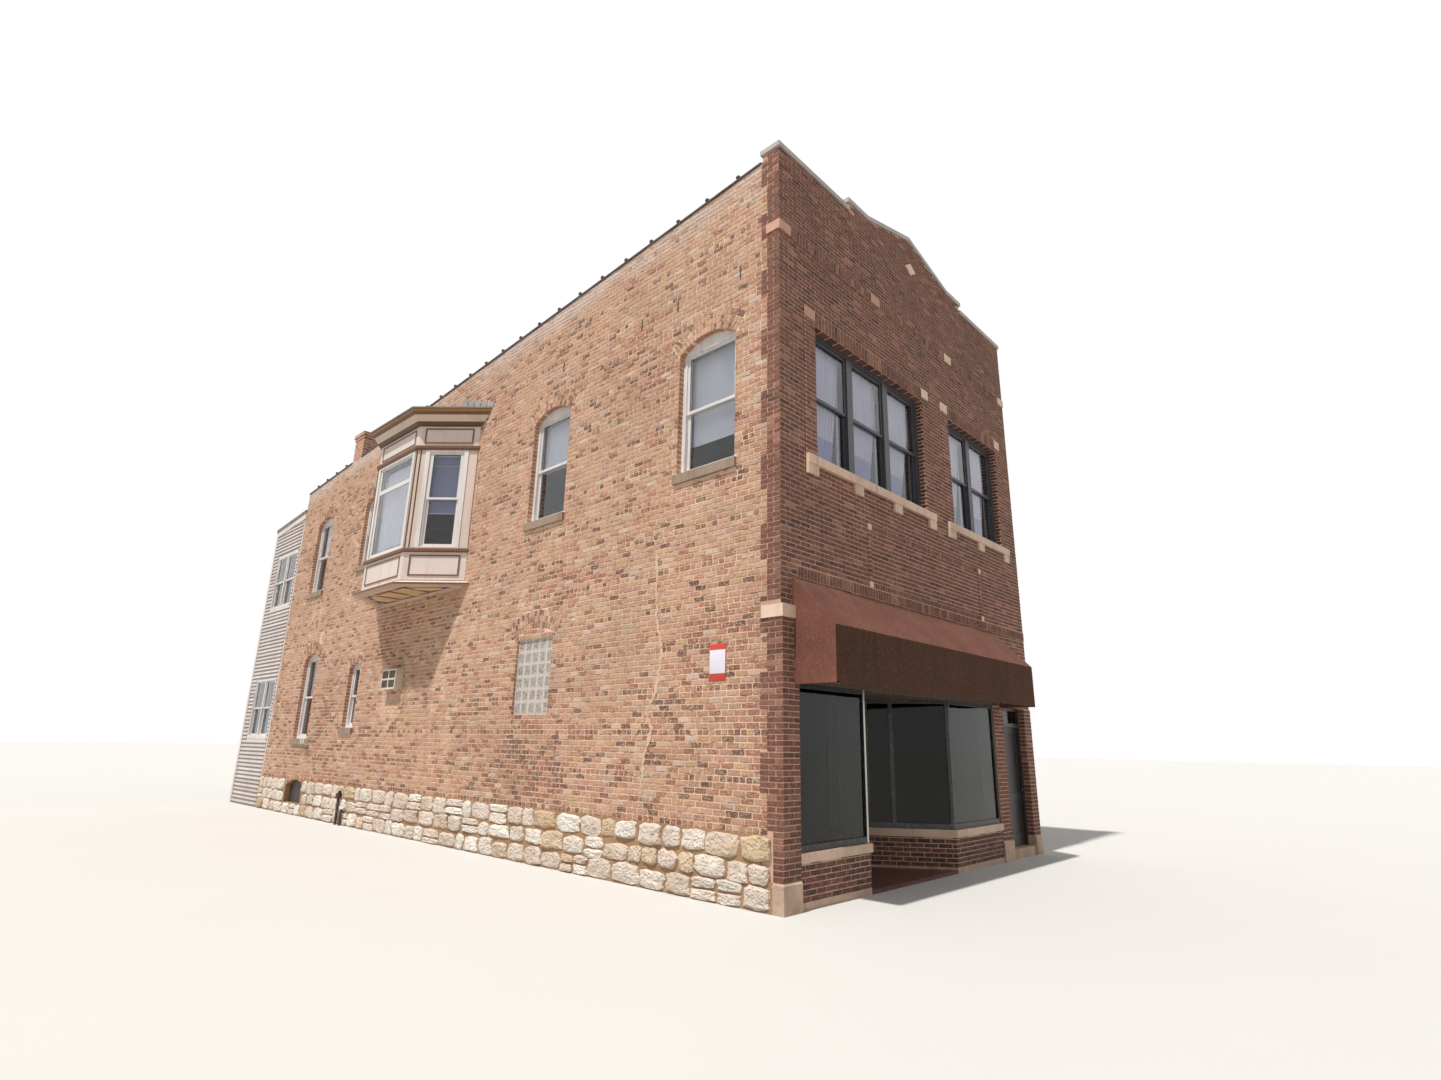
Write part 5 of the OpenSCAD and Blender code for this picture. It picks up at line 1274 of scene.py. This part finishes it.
def hang_cloths():
    """Curtains and blinds behind the windows, each on its own rail."""
    net = cloth_finish("curtain_net", "f0ecf2", 1500.0, 0.08, "8a8288", 0.05)
    blind = cloth_finish("blind_cloth", "dedde0", 2200.0, 0.12, "7a7478", 0.05)
    lilac = cloth_finish("lilac_blind", "8a8aa6", 2200.0, 0.12, "55556a", 0.05)
    pale = weathered("pale_rail", "d8d6dc", grain=90.0, depth=0.0005, rough=0.5)
    metal = weathered("rail_metal", "8a8682", "4a423c", 0.2, 4.0, 0.1, 0.2, 90.0, 0.2, 0.0005, rough=0.4,
                      **{"Metallic": 0.8})
    # The front nets are darker and bluer below z 6.22: a painted reflection in the lower panes.
    lilac_net_painted_reflection = two_tone("lilac_net_painted_reflection", lambda x, y, z, facing: z < 6.22, "d6d0de", "a9a6cc", "77758c", 0.1,
                         0.15, 0.1, 120.0, 0.0004, rough=0.9)

    def curtain(name, start, along, width, high, low, drawn=0.0, tint=net, folds=11):
        """Gathered cloth from start, hanging from high to low, drawn aside by a share of its width below."""
        across = (along[1], -along[0])
        depth = bpy.context.scene.shop_cloth.fold_depth

        def shape(s, t):
            wave = math.sin(2 * math.pi * folds * s)
            deep = depth * (0.55 + 0.45 * t) * wave + 0.006 * math.sin(5 * s + 3 * t)
            return *beside(start, along, across, width * s * (1 - drawn * t), deep), high + (low - high) * t

        piece = cloth(name, folds * 12, 16, shape, tint, 0.001)
        steps = 600
        middle = [shape(i / steps, 0.5) for i in range(steps + 1)]
        ends = [(*beside(start, along, across, u), high - 0.008) for u in (-0.02, width + 0.02)]
        put([rod(*ends, 0.007, 10)], name + "_rail", metal)

    # Panes of the front: x, width and how far the curtain is drawn aside
    (first, _), (second, _) = FRONT_WINDOWS
    pitch = 1.1133
    panes = [(first, 1.0, 0.30), (first + pitch, 1.0, 0.34), (first + 2 * pitch, 1.0, 0.48),
             (second, 1.0, 0.40), (second + 1.12, 0.97, 0.36)]
    for i, (x, w, drawn) in enumerate(panes, 1):
        curtain(f"front_curtain_{i}", (x + 0.04, 0.262), (1.0, 0.0), w - 0.02, 7.66, 5.80, drawn, lilac_net_painted_reflection)
        curtain(f"front_side_curtain_{i}", (x + w - 0.09, 0.272), (1.0, 0.0), 0.055, 7.60, 5.78, folds=2)
    lowest = (6.15, 6.66, 6.70, 6.66)
    for i, ((y, w, _, spring, _), low) in enumerate(zip(SIDE_WINDOWS, lowest), 1):
        def hang(s, t, y=y, w=w, high=spring + 0.02, low=low):
            return 0.246 + 0.002 * math.sin(3 * s), y + w - 0.045 - (w - 0.09) * s, high + (low - high) * t

        name = f"side_blind_{i}"
        piece = cloth(name, 8, 12, hang, blind, 0.001)
        ends = [(0.246, y + 0.001, spring + 0.015), (0.246, y + w - 0.001, spring + 0.015)]
        put([rod(*ends, 0.018, 14)], name + "_roller", metal)
    gap, top, foot = 0.30, 7.56, 6.30
    for i, (a, b) in enumerate(zip(ORIEL_PLAN, ORIEL_PLAN[1:])):
        reach, along = run(a, b)
        inward = (-along[1], along[0])
        if i == 1:
            curtain("oriel_curtain", beside(a, along, inward, 0.20, 0.16), along, reach - 0.40, 7.52, 5.75)
            continue

        def shade(s, t, a=a, along=along, inward=inward, reach=reach):
            deep = 0.13 + 0.002 * math.sin(3 * t)
            return *beside(a, along, inward, gap + (reach - 2 * gap) * s, deep), top + (foot - top) * t

        name = f"oriel_blind_{i // 2 + 1}"
        piece = cloth(name, 8, 12, shade, lilac, 0.001)
        reach - 2 * gap
        bars = []
        for high, radius, deep, over in (
                (7.565, 0.018, 0.13, 0.02), (foot, 0.010, 0.122, 0.0), (7.34, 0.007, 0.120, 0.0)):
            ends = [(*beside(a, along, inward, u, deep), high) for u in (gap - over, reach - gap + over)]
            bars.append(rod(*ends, radius, 12))
        put(bars, name + "_roller", pale)


def cap_side_walls():
    """Collars over the joints of the coping tiles, and the stepped flashing over the oriel's roof."""
    collars = []
    tile_length, over, half, chimney_start, chimney_end = 0.66, 0.022, 0.03, 14.2, 15.0
    for left, wide in ((0.0, 0.33), (7.45, 0.30)):
        y = 0.80
        while y < WALL_LENGTH - 0.1:
            if left or not chimney_start < y < chimney_end:
                top = wall_top(y)
                low = (left - over, y - half, top + 0.055)
                high = (left + wide + over, y + half, top + 0.107)
                collars.append(block(low, high, 0.012))
            y += tile_length
    put(collars, "coping_collars", coping_tile("coping_collar"))

    lead = weathered("flashing_lead", "a89f99", "4b433e", 0.5, 3.0, 0.3, 0.3, 60.0, 0.3, 0.001, rough=0.55)
    sheets = []
    for side in (1, -1):
        for i in range(5):
            near = 9.86 - side * (2.32 - i * 0.27)
            sheets.append((*sorted((near, near + side * 0.30)), 8.46 + i * 0.04, 8.66 + i * 0.10))
    sheets.append((8.90, 10.82, 8.62, 8.96))
    steps = [block((-0.011, y0, z0), (-0.0055, y1, z1), 0.001, 1) for y0, y1, z0, z1 in sheets]
    put(steps, "oriel_step_flashing", lead)


def bead_oriel():
    """Thin round beads down the corners of the oriel's posts."""
    brown = weathered("bead_paint", bpy.context.scene.shop_colours.trim_brown, "2c1c12", 0.2, 2.0, 0.2, 0.1,
                      40.0, 0.1, 0.0005, rough=0.5)
    places = list(ORIEL_PLAN)
    for i, k in ((1, 0), (2, 3)):
        _, along = run(ORIEL_PLAN[i], ORIEL_PLAN[k])
        places.append(beside(ORIEL_PLAN[i], along, along, 0.085))
    beads = [rod((x, y, 5.552), (x, y, 7.648), 0.014, 10) for x, y in places]
    put(beads, "oriel_beads", brown)


def fit_wall_plate():
    """The bare plate on the side wall: a red border and bands round a white field, on four screws."""
    enamel = two_tone(
        "plate_enamel", lambda x, y, z, facing: (abs(y - 1.0415) > 0.139) | (z > 3.02) | (z < 2.715),
        "e6e4ee", "c8402c", amount=0.15, streaks=0.25, grain=80.0, depth=0.0003, rough=0.35)
    parts = [block((-0.012, 0.893, 2.617), (-0.006, 1.190, 3.10), 0.0025)]
    parts += [rod((-0.015, y, z), (-0.002, y, z), 0.008, 10) for y in (0.920, 1.163) for z in (2.645, 3.07)]
    put(parts, "wall_plate", enamel)


# Stage

def seen_directly(tree):
    """True for what the camera sees, also in metal and through glass, and not for light on things."""
    rays = node(tree, "ShaderNodeLightPath")
    return Value(rays, "Is Camera Ray") | Value(rays, "Is Glossy Ray") | Value(rays, "Is Transmission Ray")


def set_stage():
    """The floor, the world, the two lamps and the camera."""
    scene = bpy.context.scene
    light = scene.shop_stage
    bpy.ops.object.select_all(action="DESELECT")
    bpy.ops.mesh.primitive_plane_add(size=400, location=(0, 0, -0.001))
    floor = bpy.context.object
    floor.name = "stage_floor"
    material, tree = blank("stage_floor")
    soft = spread(noise(place_of(tree), 0.4, 3, 0.5), 0.3, 0.7, 0.0, 0.05)
    base = layered(mix(seen_directly(tree), "b2b0ac", light.floor), [(soft, (0.45, 0.44, 0.42))])
    floor.data.materials.append(close(material, base, 0.9))

    scene.world = bpy.data.worlds.new("studio")
    scene.world.use_nodes = True
    tree = scene.world.node_tree
    tree.nodes.clear()
    even = node(tree, "ShaderNodeBackground", None, {"Color": (0.97, 0.985, 1.0), "Strength": light.sky})
    white = node(tree, "ShaderNodeBackground", None, {"Color": (1.0, 1.0, 1.0), "Strength": 1.0})
    both = node(tree, "ShaderNodeMixShader", None, {0: seen_directly(tree), 1: Value(even), 2: Value(white)})
    node(tree, "ShaderNodeOutputWorld", None, {0: Value(both)})

    for name, towards, strength, angle, tint in (
            ("key_lamp", (1.0, 0.03, -1.97), light.sun, 2.0, (1.0, 0.975, 0.94)),
            ("fill_lamp", (-0.5, 1.0, -0.7), 0.08, 40.0, (1.0, 1.0, 1.0))):
        data = bpy.data.lights.new(name, "SUN")
        data.energy, data.angle, data.color = strength, math.radians(angle), tint
        lamp = bpy.data.objects.new(name, data)
        scene.collection.objects.link(lamp)
        lamp.rotation_mode = "QUATERNION"
        lamp.rotation_quaternion = Vector(towards).to_track_quat("-Z", "Y")

    camera = bpy.data.objects.new("camera", bpy.data.cameras.new("camera"))
    scene.collection.objects.link(camera)
    turn, rise, roll = light.turn, light.rise, light.roll
    ahead = Vector((math.sin(turn) * math.cos(rise), math.cos(turn) * math.cos(rise), math.sin(rise)))
    right = Vector((math.cos(turn), -math.sin(turn), 0))
    up = right.cross(ahead)
    tilted = right * math.cos(roll) + up * math.sin(roll)
    upward = up * math.cos(roll) - right * math.sin(roll)
    camera.matrix_world = Matrix((tilted, upward, -ahead)).transposed().to_4x4()
    camera.location = light.camera_place
    camera.data.sensor_width = 36
    camera.data.sensor_fit = "HORIZONTAL"
    camera.data.lens = light.lens
    camera.data.clip_start, camera.data.clip_end = 0.1, 500
    scene.camera = camera
    scene.view_settings.view_transform = "Standard"


# The add-on: one operator for each piece or group of like pieces

class PaintNodes(bpy.types.Operator):
    """Gives the packed pieces their finishes"""
    bl_idname = "shop.paint_nodes"
    bl_label = "Finish the packed pieces"
    bl_options = {"REGISTER", "UNDO"}

    def execute(self, context):
        paint_nodes()
        return {"FINISHED"}


class LaySideWall(bpy.types.Operator):
    """Lays the side wall's common brick and its arches"""
    bl_idname = "shop.lay_side_wall"
    bl_label = "Side wall brick"
    bl_options = {"REGISTER", "UNDO"}

    def execute(self, context):
        lay_side_wall()
        return {"FINISHED"}


class LayFront(bpy.types.Operator):
    """Lays the face brick of the front, piers and bulkheads"""
    bl_idname = "shop.lay_front"
    bl_label = "Front brick"
    bl_options = {"REGISTER", "UNDO"}

    def execute(self, context):
        lay_front()
        return {"FINISHED"}


class LayRubble(bpy.types.Operator):
    """Sets the rubble stones of the side wall's base"""
    bl_idname = "shop.lay_rubble"
    bl_label = "Base stones"
    bl_options = {"REGISTER", "UNDO"}

    def execute(self, context):
        lay_rubble()
        return {"FINISHED"}


class HangSiding(bpy.types.Operator):
    """Nails the lapped boards to the rear porch"""
    bl_idname = "shop.hang_siding"
    bl_label = "Porch siding"
    bl_options = {"REGISTER", "UNDO"}

    def execute(self, context):
        hang_siding()
        return {"FINISHED"}


class StretchAwning(bpy.types.Operator):
    """Stretches the awning's cloth over its ribs"""
    bl_idname = "shop.stretch_awning"
    bl_label = "Awning cloth"
    bl_options = {"REGISTER", "UNDO"}

    def execute(self, context):
        stretch_awning()
        return {"FINISHED"}


class HangCloths(bpy.types.Operator):
    """Hangs the curtains and blinds"""
    bl_idname = "shop.hang_cloths"
    bl_label = "Curtains and blinds"
    bl_options = {"REGISTER", "UNDO"}

    def execute(self, context):
        hang_cloths()
        return {"FINISHED"}


class CapSideWalls(bpy.types.Operator):
    """Sets the collars of the coping tiles and the oriel's flashing"""
    bl_idname = "shop.cap_side_walls"
    bl_label = "Coping collars and flashing"
    bl_options = {"REGISTER", "UNDO"}

    def execute(self, context):
        cap_side_walls()
        return {"FINISHED"}


class BeadOriel(bpy.types.Operator):
    """Runs the beads down the oriel's corners"""
    bl_idname = "shop.bead_oriel"
    bl_label = "Oriel beads"
    bl_options = {"REGISTER", "UNDO"}

    def execute(self, context):
        bead_oriel()
        return {"FINISHED"}


class FitWallPlate(bpy.types.Operator):
    """Fixes the bare plate to the side wall"""
    bl_idname = "shop.fit_wall_plate"
    bl_label = "Wall plate"
    bl_options = {"REGISTER", "UNDO"}

    def execute(self, context):
        fit_wall_plate()
        return {"FINISHED"}


class SetStage(bpy.types.Operator):
    """Sets the floor, the lamps and the camera"""
    bl_idname = "shop.set_stage"
    bl_label = "Stage"
    bl_options = {"REGISTER", "UNDO"}

    def execute(self, context):
        set_stage()
        return {"FINISHED"}


MAKERS = [PaintNodes, LaySideWall, LayFront, LayRubble, HangSiding, StretchAwning, HangCloths, CapSideWalls,
          BeadOriel, FitWallPlate, SetStage]


class ShopPanel(bpy.types.Panel):
    """Sizes, colours and makers of the corner shop"""
    bl_idname = "VIEW3D_PT_corner_shop"
    bl_label = "Corner shop"
    bl_space_type = "VIEW_3D"
    bl_region_type = "UI"
    bl_category = "Corner shop"

    def draw(self, context):
        for attribute, group in GROUPS.items():
            box = self.layout.box()
            box.label(text=group.__doc__)
            for key in group.__annotations__:
                box.prop(getattr(context.scene, attribute), key)
        for maker in MAKERS:
            self.layout.operator(maker.bl_idname)


def register():
    for attribute, group in GROUPS.items():
        bpy.utils.register_class(group)
        setattr(bpy.types.Scene, attribute, bpy.props.PointerProperty(type=group))
    for maker in MAKERS + [ShopPanel]:
        bpy.utils.register_class(maker)


def unregister():
    for maker in [ShopPanel] + MAKERS[::-1]:
        bpy.utils.unregister_class(maker)
    for attribute, group in GROUPS.items():
        delattr(bpy.types.Scene, attribute)
        bpy.utils.unregister_class(group)


def main():
    register()
    for maker in MAKERS:
        getattr(bpy.ops.shop, maker.bl_idname.split(".")[1])()
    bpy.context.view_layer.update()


if __name__ == "__main__":
    main()
